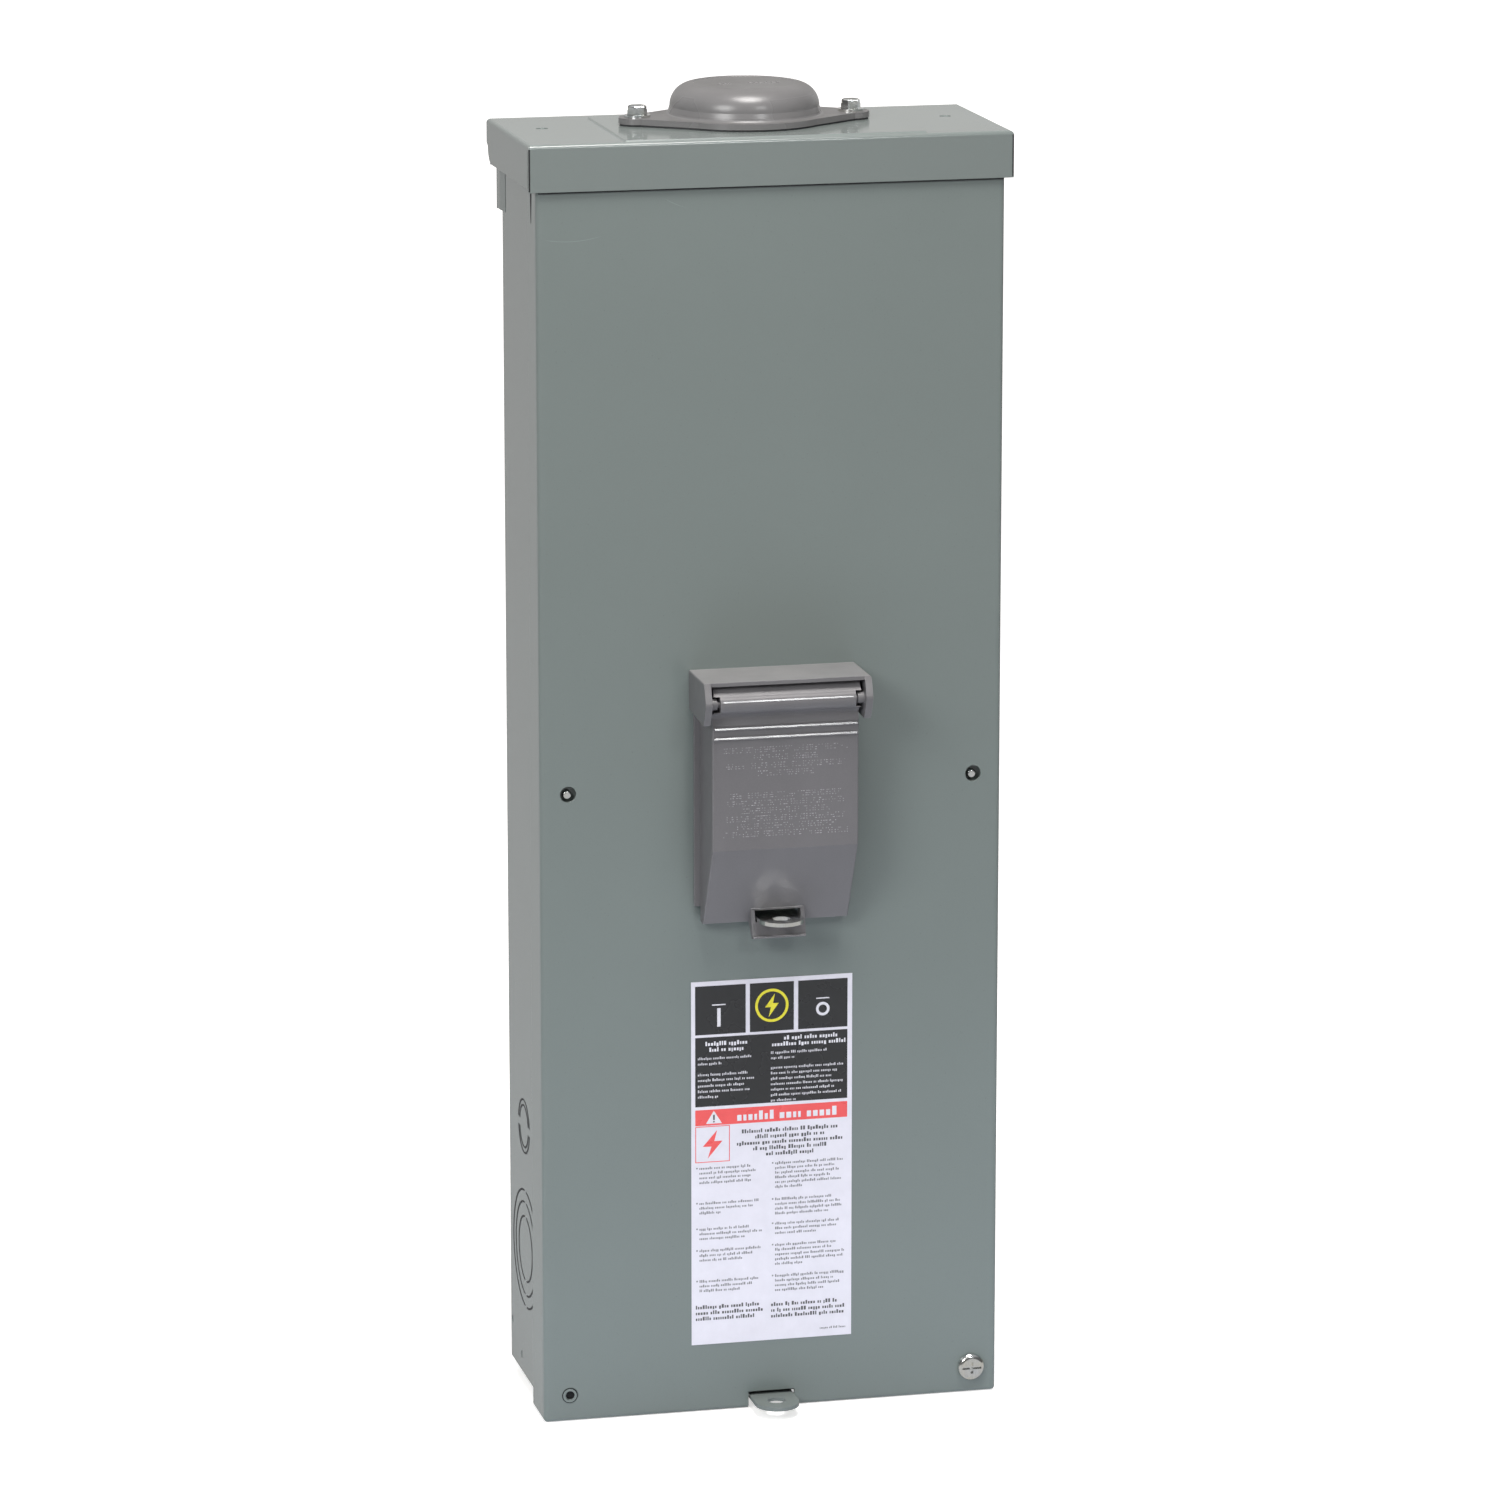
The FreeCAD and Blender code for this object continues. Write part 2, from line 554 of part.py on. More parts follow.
def flap():
    body = new_body("flap")
    skin = [(out("flap_rear"), "flap_low"), (out("flap_rear"), 40), (out(24), 57.4), (out(26.4), 60.2),
            (out(30.2), 60.4), (out("hinge_out + 2.5"), "hinge_z + sqrt(barrel_radius^2 - 6.25)"),
            (out("hinge_out + barrel_radius"), "hinge_z", "barrel_radius", 1),
            (out("hinge_out + 0.8"), "hinge_z - sqrt(barrel_radius^2 - 0.64)", "barrel_radius", 1),
            (out(29), 43.6, 3.4, -1), (out("flap_front"), 40), (out("flap_front"), "flap_bend"),
            (out("flap_foot"), "flap_low")]
    pad(body, "YZ", 0, [outline(skin)], "2 * flap_x", both=True)
    side, front = value("flap_x"), value("cover_face + flap_front")
    round_edges(body, 0.8, lambda box: near(abs(box.XMin), side) and near(box.XLength, 0)
                and near(box.YMin, -front) and box.ZLength > 40)
    hollow = [(out(0), "flap_low + flap_wall"), (out(0), 35.5), (out(22), 53), (out(25.2), 46),
              (out(27.5), 40), (out("flap_front - flap_wall"), "flap_bend + 0.8"),
              (out("flap_foot - 1.7"), "flap_low + flap_wall")]
    pocket(body, "YZ", 0, [outline(hollow)], "2 * (flap_x - flap_wall)", both=True)
    pad(body, "YZ", 0, [disc(out("flap_front"), z, "rib_radius") for z in ("rib_low", "rib_high")],
        "2 * flap_x - 1.4", both=True)
    tab = [(out(12.1), "tab_top"), (out("flap_foot - 1"), "flap_low"), (out(14.6), "tab_low - 0.8"),
           (out(17), "tab_low")]
    pad(body, "YZ", 0, [outline(tab)], "2 * tab_x", both=True)
    pocket(body, "XZ", "cover_face + 25", [centred("slot_x", "slot_low", "slot_high")], 25)
    ends = [rectangle(f"{side} * barrel_x", "hinge_z - 4", f"{side} * (flap_x + 1)", "hinge_z + 4.3")
            for side in (-1, 1)]
    pocket(body, "XZ", "cover_face + 45", ends, 43)
    pad(body, "YZ", 0, [disc(out("hinge_out"), "hinge_z", "stub_radius")], "2 * stub_x", both=True)
    return body


# Breaker

def breaker_mounting_pan():
    body = new_body("breaker_mounting_pan")
    foot = "box_rear + sheet"
    hat = [("-pan_foot_x", f"-({foot})"), ("-pan_foot_x", f"-({foot} + pan_thick)"),
           ("-pan_x", f"-({foot} + pan_thick)"), ("-pan_x", "-pan_top"), ("pan_x", "-pan_top"),
           ("pan_x", f"-({foot} + pan_thick)"), ("pan_foot_x", f"-({foot} + pan_thick)"),
           ("pan_foot_x", f"-({foot})"), ("pan_x - pan_thick", f"-({foot})"),
           ("pan_x - pan_thick", "-(pan_top - pan_thick)"), ("-(pan_x - pan_thick)", "-(pan_top - pan_thick)"),
           ("-(pan_x - pan_thick)", f"-({foot})")]
    pad(body, "XY", "-pan_z", [outline(hat)], "2 * pan_z")
    holes = discs(mirrored([(81, 125), (81, -125)]), 2.6)
    holes += [disc(0, 66, 2.3), disc(0, -66, 2.3)]
    pocket(body, "XZ", "pan_top + 1", holes, "pan_top - box_rear")
    return body


def pan_screws():
    seat = "box_rear + sheet + pan_thick"
    return fasteners("pan_screws", "XZ", [(seat, mirrored([(81, 125), (81, -125)]))], 2.2, 7, 5, 3, "combo")


def both_ends(points):
    """The same (u, v) spots at the line end and at the load end."""
    return [(u, f"{end} * ({v})") for u, v in points for end in (-1, 1)]


def breaker_base():
    body = new_body("breaker_base")
    pad(body, "XZ", "pan_top", [centred("breaker_x", "-breaker_z", "breaker_z")], "breaker_split - pan_top")
    inner, end_wall = "breaker_x - case_wall", "breaker_z - case_wall"
    poles = [rectangle(f"{side} * 1.5", f"-({end_wall})", f"{side} * ({inner})", end_wall)
             for side in (-1, 1)]
    pocket(body, "XZ", "breaker_split", poles, "breaker_split - pan_top - 4")
    bosses = mirrored(both_ends([(33, 52)]))
    pad(body, "XZ", "pan_top + 4", [rectangle(f"{u} - 3", f"{v} - 5.5", f"{u} + 3", f"{v} + 5.5")
                                    for u, v in bosses], "breaker_split - pan_top - 4")
    pocket(body, "XZ", "breaker_split", discs(bosses, 1.9), 20)
    beds = [rectangle(f"{side} * pole_x - 8", f"{end} * 15", f"{side} * pole_x + 8",
                      f"{end} * (breaker_z - 2)")
            for side in (-1, 1) for end in (-1, 1)]
    pad(body, "XZ", "pan_top + 3", beds, "strap_rear - pan_top - 3")
    slots = [rectangle(f"{side} * pole_x - 7", f"{end} * (breaker_z + 1)", f"{side} * pole_x + 7",
                       f"{end} * (breaker_z - 4)") for side in (-1, 1) for end in (-1, 1)]
    pocket(body, "XZ", "strap_front + 8", slots, "strap_front + 8 - strap_rear")
    pocket(body, "XZ", "breaker_split", [centred(3, "bar_z - 9", "bar_z + 9")],
           "breaker_split - bar_depth + 9")
    journal = disc("-bar_depth", "bar_z", "journal_radius + 0.05")
    pocket(body, "YZ", 0, [journal], f"2 * ({inner} + 1.6)", both=True)
    ears = [rectangle(-8, f"{end} * (breaker_z - 1)", 8, f"{end} * (breaker_z + 13)") for end in (-1, 1)]
    pad(body, "XZ", "pan_top", ears, 6)
    pocket(body, "XZ", "pan_top + 7", [disc(0, 66, 2.4), disc(0, -66, 2.4)], 7)
    return body


def breaker_case_cover():
    body = new_body("breaker_case_cover")
    pad(body, "XZ", "breaker_split", [centred("breaker_x", "-breaker_z", "breaker_z")],
        "breaker_face - breaker_split")
    pad(body, "XZ", "breaker_face - 1", [centred("nose_x", "-nose_z", "nose_z")],
        "nose_face - breaker_face + 1")
    half, face = value("breaker_x"), value("breaker_face")
    round_edges(body, 2, lambda box: near(box.YMin, -face) and near(box.YMax, -face)
                and max(abs(box.XMin), abs(box.XMax)) > half - 0.01)
    pocket(body, "XZ", "breaker_split", [centred("breaker_x - case_wall", -45, 45)],
           "breaker_face - breaker_split - case_wall", flip=True)
    pocket(body, "XZ", "breaker_split", [centred("nose_x - case_wall", -12, 12)],
           "nose_face - breaker_split - case_wall", flip=True)
    pocket(body, "XZ", "nose_face", [centred("nose_x - 8", "-(handle_z + 0.6)", "handle_z + 0.6")], 10)
    yokes = [rectangle(-8, f"{end} * 9.5", 8, f"{end} * 15") for end in (-1, 1)]
    pad(body, "XZ", "pivot_depth - 6", yokes, "breaker_face - pivot_depth + 5")
    pocket(body, "XY", 0, [disc(0, "-pivot_depth", "pin_radius + 0.02")], 29, both=True)
    pocket(body, "XZ", "breaker_face", discs(mirrored(both_ends([(33, 52)])), 2), 40)
    pocket(body, "XZ", "breaker_face", discs(mirrored(both_ends([(33, 52)])), 3.8), 3)
    return body


def breaker_case_screws():
    return fasteners("breaker_case_screws", "XZ", [("breaker_face - 3", mirrored(both_ends([(33, 52)])))],
                     1.8, 44, 3.5, 2.2, "combo")


def breaker_mounting_screws():
    return fasteners("breaker_mounting_screws", "XZ", [("pan_top + 6", [(0, 66), (0, -66)])], 2.2, 10,
                     4.2, 2.6, "combo")


def breaker_handle():
    """The handle is drawn upright on its pivot and its placement turns it to ON."""
    body = new_body("breaker_handle")
    pad(body, "XY", 0, [disc(0, 0, "handle_hub")], 18, both=True)
    pocket(body, "XY", 0, [outline([("-handle_hub - 1", 7), ("handle_hub + 1", 7), ("handle_hub + 1", 20),
                                    ("-handle_hub - 1", 20)])], 20, both=True)
    blade = [("-handle_x", 0), ("-handle_x", "-handle_tip + 4"), ("-handle_x + 3", "-handle_tip", 4, 1),
             ("handle_x - 3", "-handle_tip"), ("handle_x", "-handle_tip + 4", 4, 1), ("handle_x", 0)]
    pad(body, "XY", 0, [outline(blade)], "2 * handle_z", both=True)
    grips = [rectangle(f"{side} * (handle_x + 1)", f"-handle_tip + {step}", f"{side} * (handle_x - 0.7)",
                       f"-handle_tip + {step} + 1.4") for side in (-1, 1) for step in (7, 10.5, 14)]
    pocket(body, "XY", 0, grips, 20, both=True)
    pocket(body, "XY", 0, [disc(0, 0, "pin_radius + 0.05")], 20, both=True)
    body.setExpression(".Placement.Base.y", full("-pivot_depth"))
    body.setExpression(".Placement.Rotation.Angle", full("-handle_angle"))
    return body


def handle_pin():
    pin = doc.addObject("Part::Cylinder", "handle_pin")
    pin.Label = "handle_pin"
    pin.setExpression("Radius", full("pin_radius"))
    pin.Height = 28
    pin.setExpression(".Placement.Base.y", full("-pivot_depth"))
    pin.setExpression(".Placement.Base.z", "-14")
    return pin


def crossbar():
    body = new_body("crossbar")
    pad(body, "YZ", 0, [disc("-bar_depth", "bar_z", "journal_radius")], "2 * (breaker_x - case_wall + 1.4)",
        both=True)
    pad(body, "YZ", 0, [disc("-bar_depth", "bar_z", "bar_radius")], 66, both=True)
    return body


def at_poles(half, low, high):
    return [rectangle(f"{side} * pole_x - {half}", low, f"{side} * pole_x + {half}", high)
            for side in (-1, 1)]


def contact_arms():
    body = new_body("contact_arms")
    arm = [("-bar_depth", "bar_z + bar_radius + 0.1"), ("-(bar_depth - 5)", "bar_z + bar_radius + 0.1"),
           (-38.6, 14), (-38.6, 28), (-43, 28), (-43, 15), ("-(bar_depth + 2)", "bar_z + bar_radius + 0.1")]
    for side in (-1, 1):
        pad(body, "YZ", f"{side} * pole_x - 3", [outline(arm)], 6)
    return body


def moving_contacts():
    body = new_body("moving_contacts")
    pad(body, "XZ", 37.05, at_poles(3, 20, 27), 1.5)
    return body


def fixed_contacts():
    body = new_body("fixed_contacts")
    pad(body, "XZ", "strap_front", at_poles(4, 19, 28), 1)
    return body


def terminals(label, end):
    body = new_body(label)
    pad(body, "XZ", "strap_rear", at_poles("strap_x", f"{end} * 17", f"{end} * strap_end"),
        "strap_front - strap_rear")
    return body


def trip_units():
    body = new_body("trip_units")
    pad(body, "XZ", "strap_front", at_poles(9, -50, -28), 17)
    windows = at_poles(6, -47, -43) + at_poles(6, -40, -36) + at_poles(6, -33, -30)
    pocket(body, "XZ", "strap_front + 17", windows, 3)
    return body


def arc_chutes():
    body = new_body("arc_chutes")
    walls = [rectangle(f"{side} * pole_x + {edge} * 9", 31, f"{side} * pole_x + {edge} * 7.8", 49)
             for side in (-1, 1) for edge in (-1, 1)]
    pad(body, "XZ", 38, walls, 18)
    plates = []
    for step in range(5):
        plates += at_poles(8, 32 + 4 * step, 33.2 + 4 * step)
    pad(body, "XZ", 38, plates, 18)
    return body


def lugs(label, end):
    body = new_body(label)
    pad(body, "XZ", "strap_front", at_poles("lug_x", f"{end} * lug_low", f"{end} * lug_high"),
        "lug_front - strap_front")
    round_edges(body, 2.5, lambda box: box.ZLength > 20 and near(box.YMin, -value("lug_front")))
    middle = "-(lug_front + strap_front) / 2"
    low = "lug_low" if end > 0 else "-lug_high"
    pocket(body, "XY", f"{low} - 1", [disc(f"{side} * pole_x", middle, "lug_bore") for side in (-1, 1)],
           "lug_high - lug_low + 2", flip=True)
    pocket(body, "XZ", "lug_front", [disc(f"{side} * pole_x", f"{end} * 76", "lug_screw + 0.1")
                                     for side in (-1, 1)], 15)
    return body


def set_screws(label, spots, front):
    """Set screws with a hexagon socket, driven into lugs from the front."""
    body = new_body(label)
    pad(body, "XZ", f"{front} - 5.5", discs(spots, "lug_screw"), 9)
    pocket(body, "XZ", f"{front} + 3.5", [hexagon(u, v, 7) for u, v in spots], 5)
    return body


def lug_screws():
    return set_screws("lug_screws", mirrored(both_ends([("pole_x", 76)])), "lug_front")


# Neutral and grounding hardware

def neutral_insulator():
    body = new_body("neutral_insulator")
    pad(body, "XZ", "pan_top", [rectangle("neutral_x - 12", "neutral_low - 5", "neutral_x + 12",
                                          "neutral_high + 5")], "neutral_rear - pan_top")
    pocket(body, "XZ", "neutral_rear", [rectangle("neutral_x - 9", "neutral_low + 10", "neutral_x + 9", -5),
                                        rectangle("neutral_x - 9", 5, "neutral_x + 9", "neutral_high - 10")], 5)
    return body


def neutral_bar():
    body = new_body("neutral_bar")
    bar = rectangle("neutral_x - 8", "neutral_low", "neutral_x + 8", "neutral_high")
    pad(body, "XZ", "neutral_rear", [bar], "neutral_front - neutral_rear")
    middle = "-(neutral_front + neutral_rear) / 2"
    pocket(body, "YZ", "neutral_x - 9", [disc(middle, z, 2.6) for z in (32, 42, 52, 62)], 18, flip=True)
    pocket(body, "XZ", "neutral_front", [disc("neutral_x", z, 2.3) for z in (32, 42, 52, 62, -28)], 9)
    return body


def neutral_lugs():
    body = new_body("neutral_lugs")
    pad(body, "XZ", "neutral_front", [rectangle("neutral_x - 10", low, "neutral_x + 10", low + 28)
                                      for low in (-7, 71)], 26)
    pocket(body, "XY", -10, [disc("neutral_x", "-(neutral_front + 12)", "lug_bore")], 120, flip=True)
    pocket(body, "XZ", "neutral_front + 26", [disc("neutral_x", z, "lug_screw + 0.1") for z in (7, 85)], 12)
    return body


def neutral_lug_screws():
    return set_screws("neutral_lug_screws", [("neutral_x", 7), ("neutral_x", 85)], "neutral_front + 26")


def neutral_screws():
    spots = [("neutral_x", z) for z in (32, 42, 52, 62)]
    return fasteners("neutral_screws", "XZ", [("neutral_front", spots)], 2.2, 5, 4, 2.6, "slot")


def bonding_strap():
    body = new_body("bonding_strap")
    rear = "box_rear + sheet"
    run = [("-neutral_front", -14), ("-(neutral_front + 1.5)", -14), ("-(neutral_front + 1.5)", -147.5),
           (f"-({rear} + 1.5)", -147.5), (f"-({rear} + 1.5)", -168), (f"-({rear})", -168),
           (f"-({rear})", -146),
           ("-neutral_front", -146)]
    pad(body, "YZ", "neutral_x - 5", [outline(run)], 10)
    pocket(body, "XZ", "neutral_front + 3", [disc("neutral_x", z, 2.4) for z in (-28, -158)], "neutral_front")
    return body


def bonding_screws():
    seats = [("neutral_front + 1.5", [("neutral_x", -28)]),
             ("box_rear + sheet + 1.5", [("neutral_x", -158)])]
    return fasteners("bonding_screws", "XZ", seats, 2.2, 6, 4.2, 2.2, "combo")


def ground_bar():
    body = new_body("ground_bar")
    rear = "box_rear + sheet"
    ends = [rectangle("ground_x - 6", low, "ground_x + 6", f"{low} + 12")
            for low in ("ground_low", "ground_high - 12")]
    pad(body, "XZ", rear, ends, 6)
    bar = rectangle("ground_x - 6", "ground_low", "ground_x + 6", "ground_high")
    pad(body, "XZ", f"{rear} + 5.5", [bar], 12)
    spots = ground_spots()
    pocket(body, "XZ", f"{rear} + 17.5", discs(spots, 2.3), 10)
    pocket(body, "XZ", f"{rear} + 17.5", [disc("ground_x", z, 2.3) for z in (-224, -136)], 18)
    pocket(body, "YZ", "ground_x - 7", [disc(f"-({rear} + 11)", v, 2.6) for u, v in spots], 14, flip=True)
    return body


def ground_spots():
    return [("ground_x", -211 + 10 * step) for step in range(7)]


def ground_screws():
    top = "box_rear + sheet + 17.5"
    return fasteners("ground_screws", "XZ", [(top, ground_spots())], 2.2, 5, 4, 2.6, "slot")


def ground_bar_screws():
    top = "box_rear + sheet + 17.5"
    return fasteners("ground_bar_screws", "XZ", [(top, [("ground_x", -224), ("ground_x", -136)])],
                     2.2, 21, 4.2, 2.8, "combo")


def build():
    fill_sheet()
    return [box_shell(), bottom_endwall(), seal_tongue(), rain_hood(), hub_gasket(), hub_closing_plate(),
            hub_plate_screws(), cover_locating_studs(), front_cover(), cover_label(), cover_screw(),
            screw_retainer(), opening_gasket(), flap_housing(), housing_rivets(), padlock_tongue(), flap(),
            breaker_mounting_pan(), pan_screws(), breaker_base(), breaker_case_cover(), breaker_case_screws(),
            breaker_mounting_screws(), breaker_handle(), handle_pin(), crossbar(), contact_arms(),
            moving_contacts(), fixed_contacts(), terminals("line_terminals", 1), terminals("load_terminals", -1),
            trip_units(), arc_chutes(), lugs("line_lugs", 1), lugs("load_lugs", -1), lug_screws(),
            neutral_insulator(), neutral_bar(), neutral_lugs(), neutral_lug_screws(), neutral_screws(),
            bonding_strap(), bonding_screws(), ground_bar(), ground_screws(), ground_bar_screws()]


def check(parts):
    faults = []
    for item in doc.Objects:
        if "Invalid" in item.State or "Error" in item.State:
            faults.append(f"{item.Name}: {item.State}")
        if item.TypeId in ("PartDesign::Pocket", "PartDesign::Groove"):
            removed = item.BaseFeature.Shape.Volume - item.Shape.Volume
            if removed < 0.01:
                faults.append(f"{item.Name} removes nothing")
    for part in parts:
        if part.Shape.isNull() or not part.Shape.isValid() or part.Shape.Volume < 0.1:
            faults.append(f"{part.Label} has no valid shape")
    if faults:
        raise RuntimeError("; ".join(faults))


def main():
    parts = build()
    doc.recompute()
    check(parts)
    os.makedirs("parts", exist_ok=True)
    for part in parts:
        part.Shape.exportStep(os.path.join("parts", f"{part.Label}.step"))
    print(len(parts), "parts written")


main()
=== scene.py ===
import json
import math
import random

import bmesh
import bpy
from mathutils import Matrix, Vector


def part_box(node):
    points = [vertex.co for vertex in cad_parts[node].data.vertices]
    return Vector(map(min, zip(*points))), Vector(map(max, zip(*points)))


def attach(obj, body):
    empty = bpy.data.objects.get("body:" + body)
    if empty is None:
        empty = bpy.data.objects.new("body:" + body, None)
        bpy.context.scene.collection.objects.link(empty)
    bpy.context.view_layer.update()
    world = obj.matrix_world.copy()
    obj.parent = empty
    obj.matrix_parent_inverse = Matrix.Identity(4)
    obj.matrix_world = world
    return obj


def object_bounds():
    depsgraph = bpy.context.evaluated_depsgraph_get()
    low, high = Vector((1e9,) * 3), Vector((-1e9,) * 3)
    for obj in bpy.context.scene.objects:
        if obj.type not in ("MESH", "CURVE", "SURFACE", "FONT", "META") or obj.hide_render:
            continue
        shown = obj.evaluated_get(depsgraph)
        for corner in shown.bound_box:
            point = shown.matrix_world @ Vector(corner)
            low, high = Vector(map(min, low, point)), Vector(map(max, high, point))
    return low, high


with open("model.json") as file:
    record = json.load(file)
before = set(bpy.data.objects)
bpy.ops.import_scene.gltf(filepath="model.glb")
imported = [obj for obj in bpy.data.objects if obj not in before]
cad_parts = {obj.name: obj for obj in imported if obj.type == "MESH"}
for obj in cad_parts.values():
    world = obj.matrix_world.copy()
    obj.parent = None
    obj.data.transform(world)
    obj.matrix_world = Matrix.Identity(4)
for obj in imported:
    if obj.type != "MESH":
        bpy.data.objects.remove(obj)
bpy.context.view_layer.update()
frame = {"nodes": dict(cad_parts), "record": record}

MM = 0.001
AZIMUTH, ELEVATION = -13.23, 12.82
CAMERA_DISTANCE, CAMERA_LENS = 3.5247, 163.6
CAMERA_TARGET = Vector((1.7, -50, 6.7)) * MM

# Where a rim starts and is full, as 1 minus the cosine of the surface's turn
RIM_TURN = (0.004, 0.06)
# Where the tint on upward faces starts and lies in full, as the z of the surface's normal: dust on most
# materials, painted light on the housing's roof and painted shade on the hub cap's top
DUST_AND_TOP_SHADE_SLOPE = (0.55, 0.98)
# Pale grey for the tint on moulded tops: dust, and painted light on the housing's roof
DUST_AND_TOP_LIGHT_GREY = (0.55, 0.54, 0.53)


# Node graphs

class Graph:
    """A material's node tree, with short calls for the nodes used here."""

    def __init__(self, name, metallic=0.0):
        self.material = bpy.data.materials.new(name)
        self.material.use_nodes = True
        self.tree = self.material.node_tree
        self.shader = self.tree.nodes["Principled BSDF"]
        self.point = self.add("TexCoord").outputs["Object"]
        self.put(self.shader, "Metallic", metallic)

    def add(self, kind, **values):
        node = self.tree.nodes.new("ShaderNode" + kind)
        for key, number in values.items():
            setattr(node, key, number)
        return node

    def put(self, node, socket, number):
        target = node.inputs[socket]
        if isinstance(number, bpy.types.NodeSocket):
            self.tree.links.new(number, target)
        else:
            target.default_value = number

    def noise(self, scale, detail=2.0, rough=0.5, stretch=None, seed=0.0):
        node = self.add("TexNoise", noise_dimensions="4D")
        self.put(node, "Vector", self.stretched(stretch) if stretch else self.point)
        sockets = ("W", "Scale", "Detail", "Roughness")
        for socket, number in zip(sockets, (seed, scale, detail, rough)):
            self.put(node, socket, number)
        return node.outputs["Fac"]

    def cells(self, scale, output="Color"):
        node = self.add("TexVoronoi")
        self.put(node, "Vector", self.point)
        self.put(node, "Scale", scale)
        return node.outputs[output]

    def stretched(self, factors):
        node = self.add("Mapping")
        self.put(node, "Vector", self.point)
        self.put(node, "Scale", factors)
        return node.outputs["Vector"]

    def ramp(self, value, low, high, start=0.0, end=1.0):
        node = self.add("MapRange", clamp=True)
        sockets = ("Value", "From Min", "From Max", "To Min", "To Max")
        for socket, number in zip(sockets, (value, low, high, start, end)):
            self.put(node, socket, number)
        return node.outputs["Result"]

    def maths(self, operation, first, second=0.0):
        node = self.add("Math", operation=operation)
        self.put(node, 0, first)
        self.put(node, 1, second)
        return node.outputs[0]

    def mix(self, share, first, second):
        node = self.add("Mix", data_type="RGBA")
        self.put(node, 0, share)
        for index, colour in ((6, first), (7, second)):
            linked = isinstance(colour, bpy.types.NodeSocket)
            self.put(node, index, colour if linked else (*colour, 1.0))
        return node.outputs[2]

    def bevel(self, radius):
        node = self.add("Bevel", samples=6)
        self.put(node, "Radius", radius)
        return node

    def bumps(self, *layers, ease=0.0):
        """Relief given as (signal from 0 to 1, height in metres), over edges eased by a radius."""
        normal = self.bevel(ease).outputs["Normal"] if ease else None
        for signal, height in layers:
            node = self.add("Bump")
            self.put(node, "Height", signal)
            self.put(node, "Distance", height)
            if normal:
                self.put(node, "Normal", normal)
            normal = node.outputs["Normal"]
        self.put(self.shader, "Normal", normal)

    def edges(self, radius):
        """1 on edges that turn within this radius, 0 on open faces, broken up by noise."""
        bevel = self.bevel(radius)
        geometry = self.add("NewGeometry")
        dot = self.add("VectorMath", operation="DOT_PRODUCT")
        self.put(dot, 0, bevel.outputs["Normal"])
        self.put(dot, 1, geometry.outputs["Normal"])
        turn = self.maths("SUBTRACT", 1.0, dot.outputs["Value"])
        rim = self.ramp(turn, *RIM_TURN)
        return self.maths("MULTIPLY", rim, self.ramp(self.noise(140, 3), 0.40, 0.62))

    def facing_up(self):
        geometry = self.add("NewGeometry")
        split = self.add("SeparateXYZ")
        self.put(split, 0, geometry.outputs["Normal"])
        return self.ramp(split.outputs["Z"], *DUST_AND_TOP_SHADE_SLOPE)

    def dust_and_top_shading(self, most):
        """Tint on upward faces, thicker in patches: settled dust, and also painted light on the housing's
        roof and painted shade on the hub cap's top.
        """
        patches = self.ramp(self.noise(22, 4, 0.6, seed=5), 0.3, 0.75, most * 0.4, most)
        return self.maths("MULTIPLY", self.facing_up(), patches)

    def finish(self, colour, roughness):
        self.put(self.shader, "Base Color", colour)
        self.put(self.shader, "Roughness", roughness)
        return self.material


def shade(colour, factor):
    return tuple(min(channel * factor, 1.0) for channel in colour)


def painted(name, colour, peel=2.5e-6, gloss=0.13, wear=0.13, ease=0.0, marks=(),
            settled_dust_and_shade=((0.55, 0.53, 0.50), 0.05)):
    """Baked enamel on sheet steel: orange peel, slow waves in the sheet, a tint on upward faces that is
    pale dust by default and painted shade on the hub cap, and worn edges.
    """
    g = Graph(name)
    drift = g.ramp(g.noise(7, 3), 0.2, 0.8)
    grain = g.ramp(g.noise(2400, 1), 0.35, 0.75, 0, 0.10)
    specks = g.ramp(g.noise(900, 1, seed=3), 0.70, 0.78, 0, 0.35)
    tone = g.mix(drift, shade(colour, 0.955), shade(colour, 1.045))
    tone = g.mix(grain, tone, shade(colour, 1.3))
    tone = g.mix(specks, tone, shade(colour, 0.72))
    # Upward faces take the given tint: pale dust by default, and dark painted shade on the hub cap's top
    dust_and_shade_colour, dust_and_shade_most = settled_dust_and_shade
    dust_and_top_shading = g.dust_and_top_shading(dust_and_shade_most)
    tone = g.mix(dust_and_top_shading, tone, dust_and_shade_colour)
    rim = g.edges(0.6 * MM)
    tone = g.mix(g.maths("MULTIPLY", rim, wear), tone, shade(colour, 1.75))
    rough = g.ramp(g.noise(12, 3, 0.5, seed=9), 0.2, 0.8, gloss - 0.02, gloss + 0.03)
    rough = g.maths("ADD", rough, g.maths("MULTIPLY", dust_and_top_shading, 0.5))
    for mark in marks:
        line = g.maths("MULTIPLY", scratch(g, *mark), 0.55)
        tone = g.mix(line, tone, shade(colour, 1.9))
    g.bumps((g.noise(7, 1, seed=2), 1.2e-4), (g.noise(620, 2, 0.4, seed=4), peel),
            (g.noise(150, 1, seed=6), peel * 1.6), ease=ease * MM)
    return g.finish(tone, rough)


